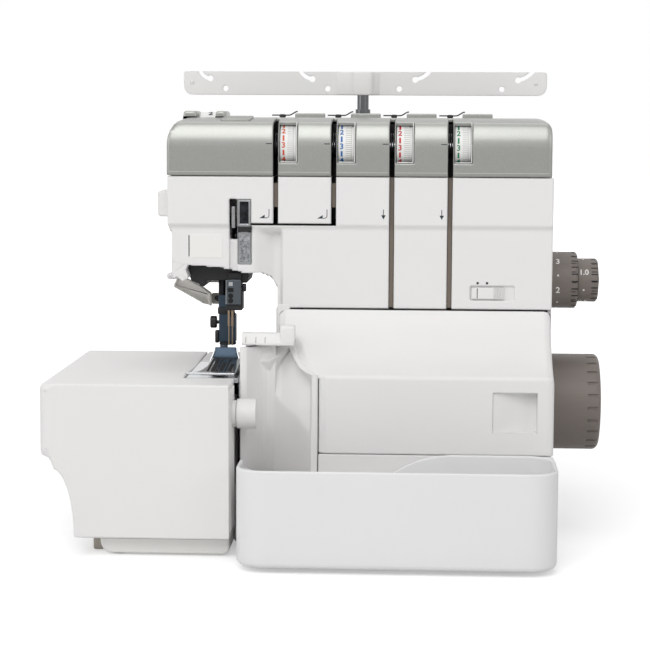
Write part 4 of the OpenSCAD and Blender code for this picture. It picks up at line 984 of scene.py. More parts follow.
def side_surface(y, run):
    """Outline point, drawn in near the front by a roll that is large down the left corner, dished on top."""
    x, z, tx, tz = along_path(run, side_run, side_path, 0.5)
    inward = np.stack([-tz, np.zeros_like(x), tx], -1)
    radius = 1.3 + 5.4 * (1 - smooth_step(SIDE_LEFT + 0.5, SIDE_LEFT + 12, x)) * smooth_step(58, 68, z)
    t = np.clip((y - SIDE_FRONT) / radius, 0, 1)
    pull = radius * (1 - np.sqrt(1 - (1 - t) ** 2))
    oval = ((x - DISH_CENTRE[0]) / DISH_HALF[0]) ** 2 + ((y - DISH_CENTRE[1]) / DISH_HALF[1]) ** 2
    dish = DISH_DEPTH * np.clip(1 - oval, 0, 1) ** 1.3 * (z > BED_Z - 0.1)
    point = np.stack([x, y, z], -1) + inward * (pull + dish)[..., None]
    return point, inward


def side_edge(y, run):
    """Distance from the open rear, the right edges and the notch round the needle plate."""
    d = np.minimum(SIDE_BACK - y, np.minimum(run, side_run[-1] - run))
    return np.minimum(d, box_distance(y, run, (NOTCH[0], -99.0), (900.0, SIDE_RIGHT - NOTCH[1]), 1.2))


front_roll = np.array([0.03, 0.1, 0.22, 0.4, 0.7, 1.0, 1.4, 2, 2.8, 3.8, 5, 6.4])
side_u = lines(SIDE_FRONT, SIDE_BACK + 0.02, 3.2, [NOTCH[0], SIDE_BACK], SIDE_ROLL)
side_u = np.unique(np.concatenate([side_u, SIDE_FRONT + front_roll]))
side_v = lines(-0.02, side_run[-1] + 0.02, 3.0, [0, SIDE_RIGHT - NOTCH[1], side_run[-1]], SIDE_ROLL)
side_v = np.unique(np.concatenate([side_v, side_run[44:84]]))
side_piece = wall_piece("side_door", side_u, side_v, side_surface, side_edge, "white_shell", SIDE_ROLL,
                        SIDE_WALL, "side_cover", flip=True)
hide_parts("side_cover")
front_run = np.unique(np.concatenate([side_run, np.linspace(0, side_run[-1], 60)]))
front_ring, _ = side_surface(np.full(len(front_run), SIDE_FRONT), front_run)
door_count = len(front_ring)
back_ring = front_ring + np.array([0.0, 2.4, 0.0])
door_faces = [tuple(range(door_count)), tuple(range(door_count, 2 * door_count))[::-1],
              (0, door_count, 2 * door_count - 1, door_count - 1)]
mesh_piece("side_door_front", np.concatenate([front_ring, back_ring]), door_faces, "white_shell",
           "side_cover")
for front_y, back_y, top in ((-70.4, -39.6, 111.4), (-39.4, -12.0, 99.0)):
    slab("side_door_return", (-59.4, front_y, 15.0), (-57.1, back_y, top), 0, 1.5, 0.6, "white_shell",
         "side_cover")
for rib_y in (-66.0, -58.0, -50.0, -43.0):
    slab("side_door_rib", (-57.6, rib_y - 0.9, 17.0), (-56.4, rib_y + 0.9, 109.0), 0, 0.8, 0.4, "white_shell",
         "side_cover")
for lug_z in (70.0, 98.0):
    slab("side_door_lug", (-176.4, 84.0, lug_z), (-159.0, 96.0, lug_z + 6.0), 2, 3.0, 0.6, "white_shell",
         "side_cover")
print("side door:", len(side_piece.data.polygons), "faces")

# %% [markdown]
# ## Printed marks
# Numbers, dots and arrows are printed on the plastic a few hundredths of a millimetre thick. A
# numeral starts as a text curve, is made into a mesh once, and its flat points are then mapped
# onto the surface: straight onto the front, or wrapped round a drum by turning height into angle.
# They stand 0.1 to 0.25 mm off the drum, so that their flat faces don't sink into its curve.

# %% Numerals, dots and bars on drums
DOT_R = 0.7


def flat_text(text, size):
    """Points and faces of a text set flat, centred on zero, in millimetres."""
    curve = bpy.data.curves.new("numeral", "FONT")
    curve.body = text
    curve.size = size
    curve.offset = 0.02 * size
    curve.align_x = "CENTER"
    curve.align_y = "CENTER"
    thing = bpy.data.objects.new("numeral", curve)
    scene.collection.objects.link(thing)
    bpy.context.view_layer.update()
    mesh = bpy.data.meshes.new_from_object(thing.evaluated_get(bpy.context.evaluated_depsgraph_get()))
    points = np.empty(len(mesh.vertices) * 3)
    mesh.vertices.foreach_get("co", points)
    faces = [list(p.vertices) for p in mesh.polygons]
    bpy.data.objects.remove(thing)
    bpy.data.curves.remove(curve)
    bpy.data.meshes.remove(mesh)
    return points.reshape(-1, 3)[:, :2], faces


def drum_point(x, axis, radius, angle):
    """Points of a drum along X, at angles measured up from its front."""
    x, y, z = np.broadcast_arrays(x, axis[0] - radius * np.cos(angle), axis[1] + radius * np.sin(angle))
    return np.stack([x, y, z], -1)


def on_drum(points, x, axis, radius, turn):
    """Flat points wrapped round a drum along X: height becomes angle."""
    return drum_point(x + points[:, 0], axis, radius, math.radians(turn) + points[:, 1] / radius)


def drum_text(text, size, x, axis, radius, turn, material, body):
    """A numeral printed on a drum."""
    points, faces = flat_text(text, size)
    return mesh_piece("printed_numeral", on_drum(points, x, axis, radius, turn), faces, material, body)


def drum_dot(x, axis, radius, turn, material, body):
    """A round dot printed on a drum."""
    dot = on_drum(circle(0.0, 0.0, DOT_R, 20), x, axis, radius, turn)
    return mesh_piece("printed_dot", dot, [tuple(range(20))], material, body)


def drum_patch(x0, x1, axis, radius, low, high, material, body, steps=6):
    """A printed bar on a drum between two X values and two angles in degrees."""
    t = np.linspace(math.radians(low), math.radians(high), steps)
    rows = [drum_point(x, axis, radius, t) for x in (x0, x1)]
    faces = [(i, i + steps, i + steps + 1, i + 1) for i in range(steps - 1)]
    return mesh_piece("printed_bar", np.concatenate(rows), faces, material, body)


def drum_ribs(x0, x1, axis, radius, count, width, material, body):
    """One piece of many thin flat bars round a drum, which paint the look of the ribs of a grip that the
    fingertip can turn: on the white dials grey, as painted shade between the ribs.
    """
    t = np.radians(np.arange(count) * 360.0 / count)[:, None] + np.radians([0.0, width])[None, :]
    rims = [drum_point(x, axis, radius, t).reshape(-1, 3) for x in (x0, x1)]
    base = np.arange(count)[:, None] * 2
    faces = np.concatenate([base, base + 1, base + 1 + 2 * count, base + 2 * count], 1)
    return mesh_piece("painted_grip_ribs", np.concatenate(rims), faces.tolist(), material, body)


print("drum helpers ready")

# %% [markdown]
# ## Dials
# Four wheels stand in the windows of the silver cover, each with numerals and dashes in the colour
# of its thread, fine ribs for the fingertip drawn as flat grey bars of painted shade, and a plain
# flange. The foot-pressure dial lies on top.
# On the right, two dark dials turn on one spindle: stitch length inside, differential feed outside.

# %% Numerals, dashes and ribs of the dials
DIAL_AXIS, DIAL_R = (16.0, 262.8), 15.5
PRESSURE_AXIS, PRESSURE_R = (45.0, 272.0), 12.4
RIGHT_AXIS, STITCH_R, FEED_R = (60.0, 170.5), 19.4, 14.9
DIAL_PAINTS = (("paint_orange", 0.0), ("paint_blue", -2.5), ("paint_red", -5.0), ("paint_green", -5.0))

for i, (paint, rest_turn) in enumerate(DIAL_PAINTS):
    body_name = f"tension_dial_{i + 1}"
    drum_x = SLOTS[i] + SLOT_W + 1.3
    for number in range(10):
        turn = (3 - number) * 36.0 + rest_turn
        drum_text(str(number), 5.2, drum_x + 2.2, DIAL_AXIS, DIAL_R + 0.16, turn, paint, body_name)
        drum_patch(drum_x + 1.6, drum_x + 2.8, DIAL_AXIS, DIAL_R + 0.1, turn - 25.0, turn - 11.0, paint,
                   body_name)
    prism("dial_flange", circle(*DIAL_AXIS, 15.2, 64), drum_x + 8.55, drum_x + 10.4, (0.3, 0.4), on_side,
          "dial_white", body_name, 3)
    # Painted shade: flat grey bars stand for the shade between the dial's grip ribs.
    drum_ribs(drum_x + 4.8, drum_x + 8.5, DIAL_AXIS, DIAL_R + 0.03, 72, 1.2, "grey_plastic", body_name)
# The dark dials' ribs are flat near-black metal bars laid on the drum as well.
drum_ribs(165.9, 170.2, RIGHT_AXIS, STITCH_R + 0.04, 24, 2.4, "black_and_painted_shade", "stitch_length_dial")
drum_ribs(179.6, 184.0, RIGHT_AXIS, FEED_R + 0.04, 20, 3.0, "black_and_painted_shade", "differential_dial")
for number in range(5):
    drum_text(str(number), 6.4, -80.4, PRESSURE_AXIS, PRESSURE_R + 0.25, 66 + (2 - number) * 40, "paint_dark",
              "foot_pressure_dial")
for text, turn in (("4", 105), ("3", 44), ("2", -17), ("R", -76)):
    drum_text(text, 6.0, 156.6, RIGHT_AXIS, STITCH_R + 0.16, turn, "paint_white", "stitch_length_dial")
for turn in (74, 13.3, -46.5):
    drum_dot(156.6, RIGHT_AXIS, STITCH_R + 0.16, turn, "paint_white", "stitch_length_dial")
for text, turn in (("1.5", 119), ("1.0", 24.8), ("0.5", -69)):
    drum_text(text, 5.4, 174.5, RIGHT_AXIS, FEED_R + 0.18, turn, "paint_white", "differential_dial")
for turn in (72, -22.5):
    drum_dot(174.5, RIGHT_AXIS, FEED_R + 0.18, turn, "paint_white", "differential_dial")
print("numerals printed")

# %% [markdown]
# ## Marks on the front
# Arrows beside the slots show the way of the thread, short ticks by the windows mark the setting,
# and two dots mark the slider's positions. The label place on the head is a blank film with a dark
# bar. Warm grey strips are painted shade inside the slots, and a fine lighter line along the silver
# cover is a painted highlight on its lip.

# %% Arrows, dots, ticks and the blank label
def front_mark(name, outline, material, y=-0.05, body="root"):
    """A flat printed shape on the front, from its outline of X and Z, turned to face the operator."""
    p = np.asarray(outline, float)
    area = (p[:, 0] * np.roll(p[:, 1], -1) - p[:, 1] * np.roll(p[:, 0], -1)).sum()
    order = range(len(p)) if area > 0 else range(len(p))[::-1]
    return mesh_piece(name, on_front(p, y), [tuple(order)], material, body)


FRONT_INK = STEP_IN - 0.05  # ink on the lower panels, which stand back by one step
for slot_x in SLOTS[:2]:
    bend = np.radians(np.linspace(0, -90, 7))
    centre = np.array([slot_x - 4.3, 216.6])
    outer, inner = (centre + r * np.stack([np.cos(bend), np.sin(bend)], -1) for r in (1.9, 1.45))
    stem = np.concatenate([[[slot_x - 2.4, 220.7]], outer, [[slot_x - 5.6, 214.7], [slot_x - 5.6, 215.15]],
                           inner[::-1], [[slot_x - 2.85, 220.7]]])
    front_mark("arrow_stem", stem, "paint_dark")
    head = [(slot_x - 9.1, 214.7), (slot_x - 5.5, 214.7), (slot_x - 5.5, 217.0)]
    front_mark("arrow_head", head, "paint_dark")
for slot_x in SLOTS[2:]:
    front_mark("arrow_stem", box(slot_x - 4.0, 217.0, slot_x - 3.5, 220.9), "paint_dark")
    head = [(slot_x - 5.25, 217.2), (slot_x - 2.25, 217.2), (slot_x - 3.75, 214.4)]
    front_mark("arrow_head", head, "paint_dark")
for slot_x in SLOTS:
    front_mark("index_tick", box(slot_x - 4.6, 263.6, slot_x - 0.7, 264.15), "paint_dark", -0.95)
for dot_x in (100.9, 107.1):
    front_mark("position_dot", circle(dot_x, 172.6, 0.85, 20), "paint_dark", FRONT_INK)
label = rounded(box(-92.0, 188.0, -68.7, 203.8), 1.0, 4)
prism("blank_label", label, STEP_IN - 0.2, STEP_IN + 0.2, (0.1, 0), on_front, "label_film", steps=2)
front_mark("label_bar", box(-91.3, 188.8, -90.6, 203.0), "paint_dark", STEP_IN - 0.25)
front_mark("slider_index", box(100.4, 162.6, 100.9, 169.2), "paint_dark", STEP_IN - 0.78, "tension_slider")
# Painted shade: a warm grey strip just behind each thread slot darkens it the way its shade would.
for low, high, strips in ((222.0, 238.0, SLOTS[:2]), (156.0, 242.0, SLOTS[2:])):
    for slot_x in strips:
        slab("painted_slot_shade", (slot_x + 0.35, 3.7, low), (slot_x + SLOT_W - 0.35, 4.1, high), 1, 0.3, 0.0,
             "paint_slot_shade")
# Painted highlight: a thin lighter line along the foot of the silver cover stands for the light on its lip.
for low_x, high_x in zip([HEAD_LEFT + 1.5] + [s + SLOT_W + 0.4 for s in SLOTS],
                         [s - 0.4 for s in SLOTS] + [COLUMN_RIGHT - 3.0]):
    front_mark("painted_lip_highlight", box(low_x, 245.0, high_x, 245.35), "silver_lip_highlight", -0.86)
print("marks printed")

# %% [markdown]
# ## On top of the silver cover
# Two humps guard the foot-pressure dial, a shallow tray is let in beside them, and behind the
# dials run low ridges with bent wire guides between them that lead the thread into its slot.

# %% Humps, inlay, ridges and wire guides
for low_x, high_x in ((-97.6, -89.2), (-75.8, -69.4)):
    hump = rounded([(low_x - 0.8, 279.6), (high_x + 0.8, 279.6), (high_x, 285.2), (low_x, 285.2)],
                   [0.2, 0.2, 2.0, 2.0], 7)
    prism("dial_hump", hump, 30.0, 60.0, (1.6, 1.6), on_front, "silver_shell", steps=5)


def over_silver(ring, lift):
    """Outline of X and Y laid on the silver cover's gentle slope and lifted."""
    z = np.interp(ring[:, 1], back_slope[:, 0], back_slope[:, 1]) + lift
    return np.stack([ring[:, 0], ring[:, 1], z], -1)


inlay = rounded([(-70.5, 6.4), (-50.6, 6.4), (-49.4, 22.0), (-68.0, 22.0)], 1.5, 4)
inlay_rings = [over_silver(inset(inlay, inward), lift)
               for inward, lift in ((0.0, -0.3), (0.0, 0.9), (0.8, 0.95), (1.2, 0.3))]
ring_piece("thread_tray_rim", inlay_rings, "silver_shell", cap=(False, True))
for slot_x in SLOTS:
    slab("rear_ridge", (slot_x + 10.5, 60.5, 279.6), (slot_x + 31.0, 69.0, 284.0), 1, 0.9, 0.5,
         "silver_shell")


def wire(name, path, radius, material, body="root", sides=10):
    """Round wire along a short path of points: a circle carried along it, square to the mean direction."""
    p = np.asarray(path, float)
    step = np.gradient(p, axis=0)
    step /= np.linalg.norm(step, axis=1)[:, None]
    side = np.cross(step, np.tile([0.0, 1.0, 0.0], (len(p), 1)))
    side /= np.linalg.norm(side, axis=1)[:, None]
    other = np.cross(side, step)
    t = np.linspace(0, 2 * math.pi, sides, endpoint=False)[None, :, None]
    rings = p[:, None] + radius * (np.cos(t) * side[:, None] + np.sin(t) * other[:, None])
    return ring_piece(name, rings, material, body)


lip_z = np.concatenate([np.full(8, 251.9), np.linspace(252.2, 277.8, 16)])
for slot_x in SLOTS:
    lip_x = slot_x + SLOT_W + np.concatenate([np.linspace(1.4, 11.9, 8), np.full(16, 12.1)])
    lip_y = np.interp(lip_z, front_rise[:, 1], front_rise[:, 0]) + 0.25
    wire("window_lip", np.stack([lip_x, lip_y, lip_z], -1), 0.32, "dial_white")
for i, slot_x in enumerate(SLOTS):
    s = np.linspace(0, 1, 16)
    path = np.stack([slot_x - 5.5 + 17.5 * s, 62.0 + 3 * s, 282.6 + 2.6 * smooth_step(0.66, 1.0, s)], -1)
    guide = wire("wire_guide", path, 0.45, "dark_steel")
    if i == 0:
        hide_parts("top_thread_guides")
    slab("wire_guide_foot", (slot_x - 0.2, 58.0, 281.0), (slot_x + 4.0, 64.0, 283.3), 1, 0.9, 0.5,
         "black_plastic")
print("top details ready")

# %% [markdown]
# ## Under the head
# The needle bar and the presser bar come down through a cavity, filled with a black block whose
# black is painted shade, and its lower edge shows under the white head. Behind them hangs the
# bracket of the foot lifter, with its cross-slotted screw.
# The white corner of the head ends in a small chin, and a short round nub stands out at its left.

# %% Cavity, chin and lifter bracket
# The cavity is a solid black block: its black is painted shade in the hollow under the head.
cavity = rounded([(-94.6, 183.6), (-91.3, 171.2), (-86.0, 169.4), (-85.0, 167.6), (-82.0, 167.6),
                  (-81.0, 171.5), (-66.0, 172.0), (-64.0, 170.2), (-53.4, 170.2), (-52.4, 174.6),
                  (-52.4, 183.6)], [0.5, 1, 1, 1, 1, 1, 1, 1, 1, 1.5, 0.5], 4)
cavity_piece = prism("head_cavity", cavity, 16.0, 52.0, (0.6, 0.6), on_front, "black_plastic")
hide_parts("head_bracket")
slab("lifter_arm", (-73.5, 84.0, 150.0), (-64.0, 88.0, 182.0), 1, 1.5, 0.5, "black_plastic")
slab("lifter_bracket", (-84.8, 82.2, 149.2), (-70.0, 85.4, 157.0), 1, 1.2, 0.5, "grey_plastic")
slab("cross_rod", (-87.5, 59.0, 166.5), (-60.0, 62.0, 168.8), 1, 1.0, 0.5, "grey_plastic")
SCREW_X, SCREW_Z = -80.4, 153.4
prism("lifter_screw", circle(SCREW_X, SCREW_Z, 2.1), 81.2, 82.4, (0.5, 0), on_front, "dark_steel", steps=3)
# The cross slot is two thin black plates: painted shade in the screw's recess.
for half_x, half_z in ((1.2, 0.25), (0.25, 1.2)):
    slab("cross_slot", (SCREW_X - half_x, 81.12, SCREW_Z - half_z),
         (SCREW_X + half_x, 81.3, SCREW_Z + half_z), 1, 0.1, 0.0, "black_plastic")
chin = rounded([(-102.8, 186.0), (-90.4, 186.0), (-93.4, 179.8), (-91.4, 174.6), (-95.2, 171.9),
                (-99.3, 175.3), (-101.6, 173.0), (-102.8, 177.7)],
               [0.3, 0.3, 0.3, 0.4, 0.3, 0.3, 0.3, 0.4], 3)
prism("head_chin", chin, STEP_IN + 0.06, 55.0, (0.2, 0.2), on_front, "white_shell")
nub = rounded(box(-113.6, 168.6, -104.0, 173.2), 2.2, 8)
prism("cutter_nub", nub, 57.0, 63.0, (2.0, 2.0), on_front, "white_shell", steps=5)

# %% [markdown]
# ## Lifter lever
# The lever that lifts the foot is a grey moulding with a raised rim round a shallow field, so its
# front end is a stack of rings that goes out, over the rim and in again.

# %% Lifter lever
lever = rounded([(-107.4, 170.4), (-111.4, 162.0), (-89.6, 150.0), (-84.4, 149.0), (-84.4, 157.6),
                 (-91.5, 162.8)], [1.6, 1.8, 4.0, 1.0, 1.0, 3.0], 6)
lever_rim = [on_front(inset(lever, inward), y)
             for inward, y in ((2.0, 75.6), (1.7, 75.4), (1.3, 74.6), (0.8, 74.3), (0.3, 74.5), (0.0, 75.2))]
lever_piece = ring_piece("lifter_lever", lever_rim + rolled_stack(lever, 75.3, 81.0, 0.0, 1.0, on_front, 4),
                         "lever_grey", "presser_lifter")
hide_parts("presser_lifter")
slab("lever_fin", (-85.4, 72.6, 148.8), (-83.8, 76.0, 157.4), 0, 0.8, 0.4, "lever_grey", "presser_lifter")
print("lifter ready")

# %% [markdown]
# ## Needle clamp
# Two needles are held by one clamp of dark steel: a small plate with two set screws, a window and
# a bright field, on a black block at the end of the needle bar. The window and the screw holes are
# near-black, as painted shade.

# %% Needle clamp
plate = rounded(box(-66.9, 155.9, -57.0, 172.8), 0.9, 5)
plate_piece = prism("clamp_plate", plate, 10.4, 12.2, (0.5, 0.2), on_front, "slate_steel", "needle_bar")
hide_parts("needle_clamp")
for low, high in (((-67.4, 12.3, 151.9), (-56.4, 25.8, 168.0)), ((-66.0, 13.0, 168.1), (-57.0, 24.0, 177.4))):
    slab("clamp_block", low, high, 1, 0.9, 0.5, "black_plastic", "needle_bar")
# The clamp's window is a near-black patch: painted shade in the opening.
front_mark("clamp_window", box(-66.0, 164.4, -62.0, 167.2), "hole_shade", 10.34, "needle_bar")
front_mark("clamp_shine", box(-65.3, 168.6, -62.6, 171.2), "polished_steel", 10.34, "needle_bar")
# The two screw holes are near-black discs: painted shade.
for hole_z in (161.9, 158.6):
    prism("clamp_screw", circle(-64.0, hole_z, 1.75), 10.0, 10.6, (0.3, 0), on_front, "hole_shade",
          "needle_bar", 3)
slab("clamp_edge", (-67.35, 10.2, 156.2), (-66.7, 11.6, 172.4), 1, 0.3, 0.15, "chrome_trim", "needle_bar")
slab("clamp_side_screw", (-56.6, 14.0, 164.5), (-54.2, 20.0, 169.5), 0, 1.2, 0.5, "dark_steel", "needle_bar")
print("clamp:", len(plate_piece.data.polygons), "faces on its plate")

# %% [markdown]
# ## Ankle and foot
# The ankle is a flat blued bar, clamped to the presser bar by a thumb screw. The foot hangs from
# it: a bright sole that climbs from toe to hood, with narrow slots for needles and stitch fingers
# laid on it as near-black strips of painted shade, a dark heel behind, and a flared hood between
# two bright ribs, whose lower band is a dark piece of painted shade.

# %% Ankle and foot
ankle = rounded([(-73.7, 128.4), (-62.4, 128.4), (-62.4, 147.6), (-66.8, 147.6), (-66.8, 160.8),
                 (-73.7, 160.8)], [0.8, 0.8, 0.6, 0.6, 0.8, 0.8], 4)
ankle_piece = prism("ankle_bar", ankle, 27.2, 36.8, (0.5, 0.5), on_front, "blue_steel", "presser")
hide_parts("presser_foot_ankle")
slab("ankle_collar", (-74.6, 26.4, 147.8), (-66.0, 37.0, 152.4), 2, 2.0, 0.6, "black_plastic", "presser")
slab("ankle_screw", (-80.0, 29.0, 137.8), (-75.6, 35.5, 146.0), 0, 2.6, 0.8, "black_plastic", "presser")
slab("ankle_pin", (-76.0, 31.2, 140.6), (-73.6, 33.6, 143.0), 0, 1.0, 0.2, "dark_steel", "presser")
slab("release_lever", (-76.4, 27.0, 128.0), (-73.9, 33.0, 136.5), 0, 1.4, 0.5, "black_plastic", "presser")


def on_slant(ring, height):
    """The sole's plane: it climbs from the toe to the hood."""
    z = height + 0.13 * np.maximum(ring[:, 1] + 30.0, 0.0)
    return np.stack([ring[:, 0], ring[:, 1], z], -1)


sole = rounded([(-90.0, -30.0), (-88.8, -31.6), (-56.8, -31.2), (-56.8, 7.0), (-76.0, 7.0), (-77.2, -12.0),
                (-79.6, -22.0), (-82.4, -27.6)], [0.4, 0.6, 1, 1, 1, 3, 3, 3], 4)
sole_piece = prism("foot_sole", sole, 113.9, 115.3, (0.2, 0.4), on_slant, "polished_steel", "presser")
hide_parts("presser_foot")
for low_x, high_x in ((-76.0, -67.4), (-61.4, -57.4)):
    slab("foot_heel", (low_x, 7.4, 113.9), (high_x, 30.0, 116.4), 2, 1.2, 0.4, "slate_steel", "presser")
slab("foot_post", (-73.0, 26.4, 116.5), (-68.0, 33.0, 126.8), 2, 1.2, 0.3, "slate_steel", "presser")
# Each slot is a thin near-black strip on the sole: painted shade in the slot.
for low_x, width, rear in ((-75.4, 1.5, 4.0), (-72.8, 2.6, 4.0), (-69.2, 1.0, 4.0), (-67.4, 2.6, -4.0),
                           (-63.9, 1.1, 4.0), (-61.9, 2.4, -8.0)):
    toe_x, high_x = low_x - 0.8, low_x + width
    cut = rounded([(toe_x, -26.6), (high_x - 0.8, -26.6), (high_x, rear), (low_x, rear)], 0.4, 3)
    prism("foot_slot", cut, 115.1, 115.42, (0, 0), on_slant, "hole_shade", "presser")


FOOT_X = -67.4


def hood(name, low, high, wide_low, wide_high, y_low, y_high, material, steps=9):
    """Flared hood: a thin rounded block whose half width and front change with height."""
    rings = []
    for t in np.linspace(0, 1, steps):
        half = wide_high + (wide_low - wide_high) * (1 - t) ** 1.7
        front = y_low + (y_high - y_low) * t ** 0.8
        ring = rounded(box(FOOT_X - half, front, FOOT_X + half, front + 1.8), 0.7, 4)
        rings.append(on_floor(ring, low + (high - low) * t))
    return ring_piece(name, rings, material, "presser")


hood("foot_hood", 120.4, 126.8, 8.6, 7.1, 8.6, 12.0, "blue_steel")
# Painted shade: the hood's lower band is a near-black piece standing for the shade on it.
hood("foot_hood_shade", 116.6, 120.3, 10.4, 8.7, 7.4, 9.0, "black_and_painted_shade")
slab("foot_neck", (-73.4, 26.4, 126.9), (-62.4, 34.0, 128.3), 2, 1.5, 0.3, "black_plastic", "presser")
for side in (-1.0, 1.0):
    t = np.linspace(0, 1, 12)
    rib_x = FOOT_X + side * (7.5 + 3.2 * (1 - t) ** 1.7)
    rib_path = np.stack([rib_x, 7.0 + 4.4 * t ** 0.8, 117.2 + 9.8 * t], -1)
    wire("foot_rib", rib_path, 0.45, "chrome_trim", "presser")
print("foot ready")

# %% [markdown]
# ## Guide bar and its pole
# The bar above the machine is a thin pressed plate on edge. Each thread drops in from the top edge
# through a curved slot and rests in its round end, so it can't jump out. The plate is one outline
# with the slots cut into it, the round holes are left open, and its edge is carried back.

# %% Guide bar
BAR_LOW, BAR_HIGH, BAR_Y = 297.0, 313.55, 111.7


def thread_slot(top, bend, end, half=1.35, end_radius=2.2):
    """Outline of one slot from one side of its mouth round its end: a bent path offset to both sides, cut
    level with the plate's top edge, and a round end of 280 degrees."""
    t = np.linspace(0, 1, 40)[:, None]
    path = (1 - t) ** 2 * np.array(top) + 2 * t * (1 - t) * np.array(bend) + t ** 2 * np.array(end)
    step = np.gradient(path, axis=0)
    step /= np.linalg.norm(step, axis=1)[:, None]
    side = np.stack([-step[:, 1], step[:, 0]], -1)
    keep = np.linalg.norm(path - path[-1], axis=1) > end_radius * 0.8
    sides = [path[keep] + s * half * side[keep] for s in (1, -1)]
    mouths = []
    for line in sides:
        inside = line[:, 1] < BAR_HIGH
        first = int(np.argmax(inside))
        a, b = line[first - 1], line[first]
        cut = a + (b - a) * (BAR_HIGH - a[1]) / (b[1] - a[1])
        mouths.append(np.concatenate([[cut], line[first:]]))
    start = math.atan2(side[-1, 1], side[-1, 0]) + math.radians(50)
    sweep = np.linspace(start, start - math.radians(280), 18)
    round_end = np.array(end) + end_radius * np.stack([np.cos(sweep), np.sin(sweep)], -1)
    return np.concatenate([mouths[0], round_end, mouths[1][::-1]])


def pierced_plate(name, loops, y0, y1, material, body):
    """A plate of one outline and its holes: flat front and back from the loops, walls joining them."""
    tris = tessellate_polygon([[Vector((x, z, 0)) for x, z in loop] for loop in loops])
    flat = np.concatenate(loops)
    n = len(flat)
    faces = [tuple(t) for t in tris] + [tuple(i + n for i in t[::-1]) for t in tris]
    base = 0
    for count in map(len, loops):
        ring = base + np.arange(count)
        after = np.roll(ring, -1)
        faces += np.stack([ring, after, after + n, ring + n], -1).tolist()
        base += count
    piece = mesh_piece(name, np.concatenate([on_front(flat, y0), on_front(flat, y1)]), faces, material, body)
    work = bmesh.new()
    work.from_mesh(piece.data)
    bmesh.ops.recalc_face_normals(work, faces=work.faces)
    work.to_mesh(piece.data)
    work.free()
    return piece


eyes = [((-96.6, 317.0), (-95.4, 309.2), (-88.6, 308.6)), ((-25.2, 317.0), (-23.0, 309.6), (-15.4, 308.4)),
        ((70.2, 317.0), (66.2, 309.8), (58.0, 308.2)), ((143.4, 317.0), (139.4, 309.8), (131.0, 308.0))]
edge_points = rounded(box(-107.6, BAR_LOW, 151.4, BAR_HIGH), [6.6, 6.6, 2, 2], 6)
on_left = edge_points[edge_points[:, 0] < 0]
on_right = edge_points[edge_points[:, 0] > 0]
plate_outline = np.concatenate([on_left[np.argsort(-on_left[:, 1], kind="stable")],
                                on_right[np.argsort(on_right[:, 1], kind="stable")]]
                               + [thread_slot(*eye) for eye in eyes[::-1]])
holes = [circle(x, 301.6, 2.0, 20) for x in (-77.6, -4.4, 46.6, 119.5)]
bar_piece = pierced_plate("guide_bar_plate", [plate_outline] + holes, BAR_Y, BAR_Y + 2.4, "white_shell",
                          "guide_bar")
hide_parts("guide_bar")
for x in (-101.8, 143.7):
    prism("pressed_circle", circle(x, 305.8, 1.6, 20), BAR_Y - 0.35, BAR_Y + 0.1, (0.2, 0), on_front,
          "white_shell", "guide_bar", 3)
hub = rounded([(1.5, 111.9), (7.0, 109.6), (12.5, 109.0), (14.6, 105.2), (27.0, 105.2), (29.0, 109.0),
               (32.9, 111.9), (30.0, 118.0), (27.0, 120.6), (14.6, 120.6), (10.0, 118.0)],
              [0.4, 3, 2, 3, 3, 2, 0.4, 2, 3, 3, 2], 5)
prism("guide_bar_hub", hub, BAR_LOW, BAR_HIGH - 0.05, (0.8, 0.8), on_floor, "white_shell", "guide_bar")
print("guide bar ready")

# %% [markdown]
# ## Thread plate, fillers and base
# The chrome plate beside the take-up lever is etched: a dark mirror above, a pale grained field
# below, and a black clip between them. The other pieces here are small mouldings that close the
# casing: the floor of the slider's recess, a thin curved guard in front of the upper knife, the
# collar behind the knife knob, a plate that fills the neck's corner behind the seam guide, the
# thread cutter's nub, and the base, which sits further in than the covers and has a soft foot
# under the side cover.

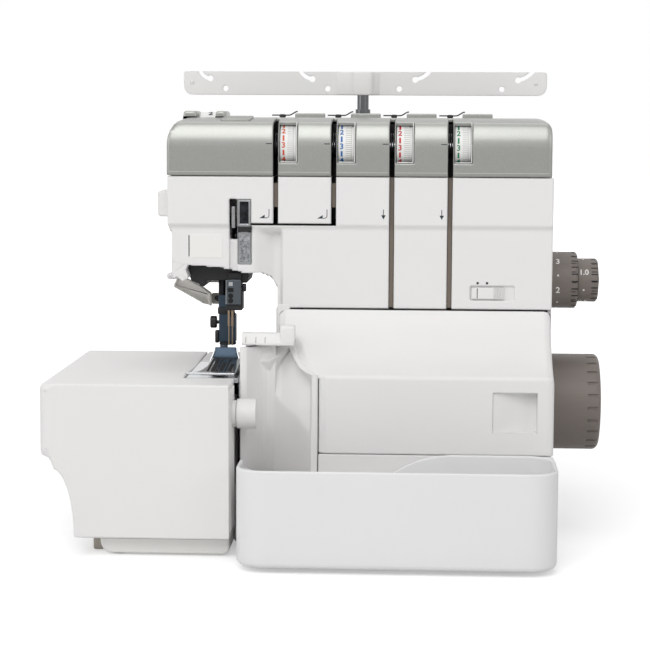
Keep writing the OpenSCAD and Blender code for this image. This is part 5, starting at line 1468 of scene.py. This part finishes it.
# %% Thread plate, fillers and base
slab("plate_dark_window", (-57.4, 1.5, 211.0), (-50.5, 2.3, 225.8), 1, 0.5, 0.1, "etched_black")
slab("plate_light_window", (-57.2, 1.6, 185.2), (-50.5, 2.2, 203.4), 1, 0.5, 0.1, "etched_steel")
slab("plate_clip", (-58.2, 0.4, 205.4), (-49.5, 1.9, 208.9), 1, 0.5, 0.3, "black_plastic")
slab("slider_recess", (95.0, STEP_IN + 1.75, 160.4), (126.0, STEP_IN + 2.4, 171.4), 1, 0.6, 0.1,
     "white_shell")
guard_front = np.array([(-52.8, -38.7), (-48.8, -37.8), (-46.0, -32.4), (-43.0, -27.4), (-40.0, -23.6),
                        (-37.0, -21.3), (-34.0, -20.5), (-31.0, -21.2)])
guard = np.concatenate([guard_front, guard_front[::-1] + [-0.5, 1.2]])
prism("knife_guard", rounded(guard, 0.3, 3), 46.0, 133.2, (0.2, 0.2), on_floor, "white_shell", steps=2)
KNOB_AXIS = (-52.0, 92.0)
prism("knob_collar", circle(*KNOB_AXIS, 8.6, 32), -57.4, -53.7, (0.6, 0.2), on_side, "white_shell", steps=3)
slab("seam_end_filler", (-32.0, 2.4, 136.0), (-23.6, 4.6, 157.4), 1, 0.6, 0.3, "white_shell")
BASE_TOP = 12.8
base_left = rounded(box(-141.5, 1.2, -58.0, BASE_TOP), [8.0, 4.5, 0.5, 0.5], 7)
# The base's left part takes the lighter white: painted light against the shade under the side cover.
base_piece = prism("base_left", base_left, -60.0, 98.0, (1.6, 1.6), on_front, "base_white_brightened", steps=5)
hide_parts("base_plate")
slab("base_right", (-57.7, -38.0, 4.1), (148.0, 98.0, BASE_TOP), 2, 8.0, 1.2, "white_shell")
slab("base_hinge_tab", (-173.0, 80.0, 8.0), (-141.8, 98.0, BASE_TOP), 2, 2.0, 0.8, "white_shell")
slab("base_front_pad", (-148.4, -46.0, 0.3), (-141.8, -30.0, 9.6), 1, 1.4, 0.8, "pad_rubber")
cutter_outline = rounded(box(-114.3, 214.2, -105.4, 231.8), [2.2, 0.3, 0.3, 2.2], 6)
cutter_piece = prism("thread_cutter_nub", cutter_outline, 19.5, 44.0, (1.4, 1.4), on_front, "white_shell",
                     steps=5)
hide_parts("thread_cutter")
print("closing panels ready")
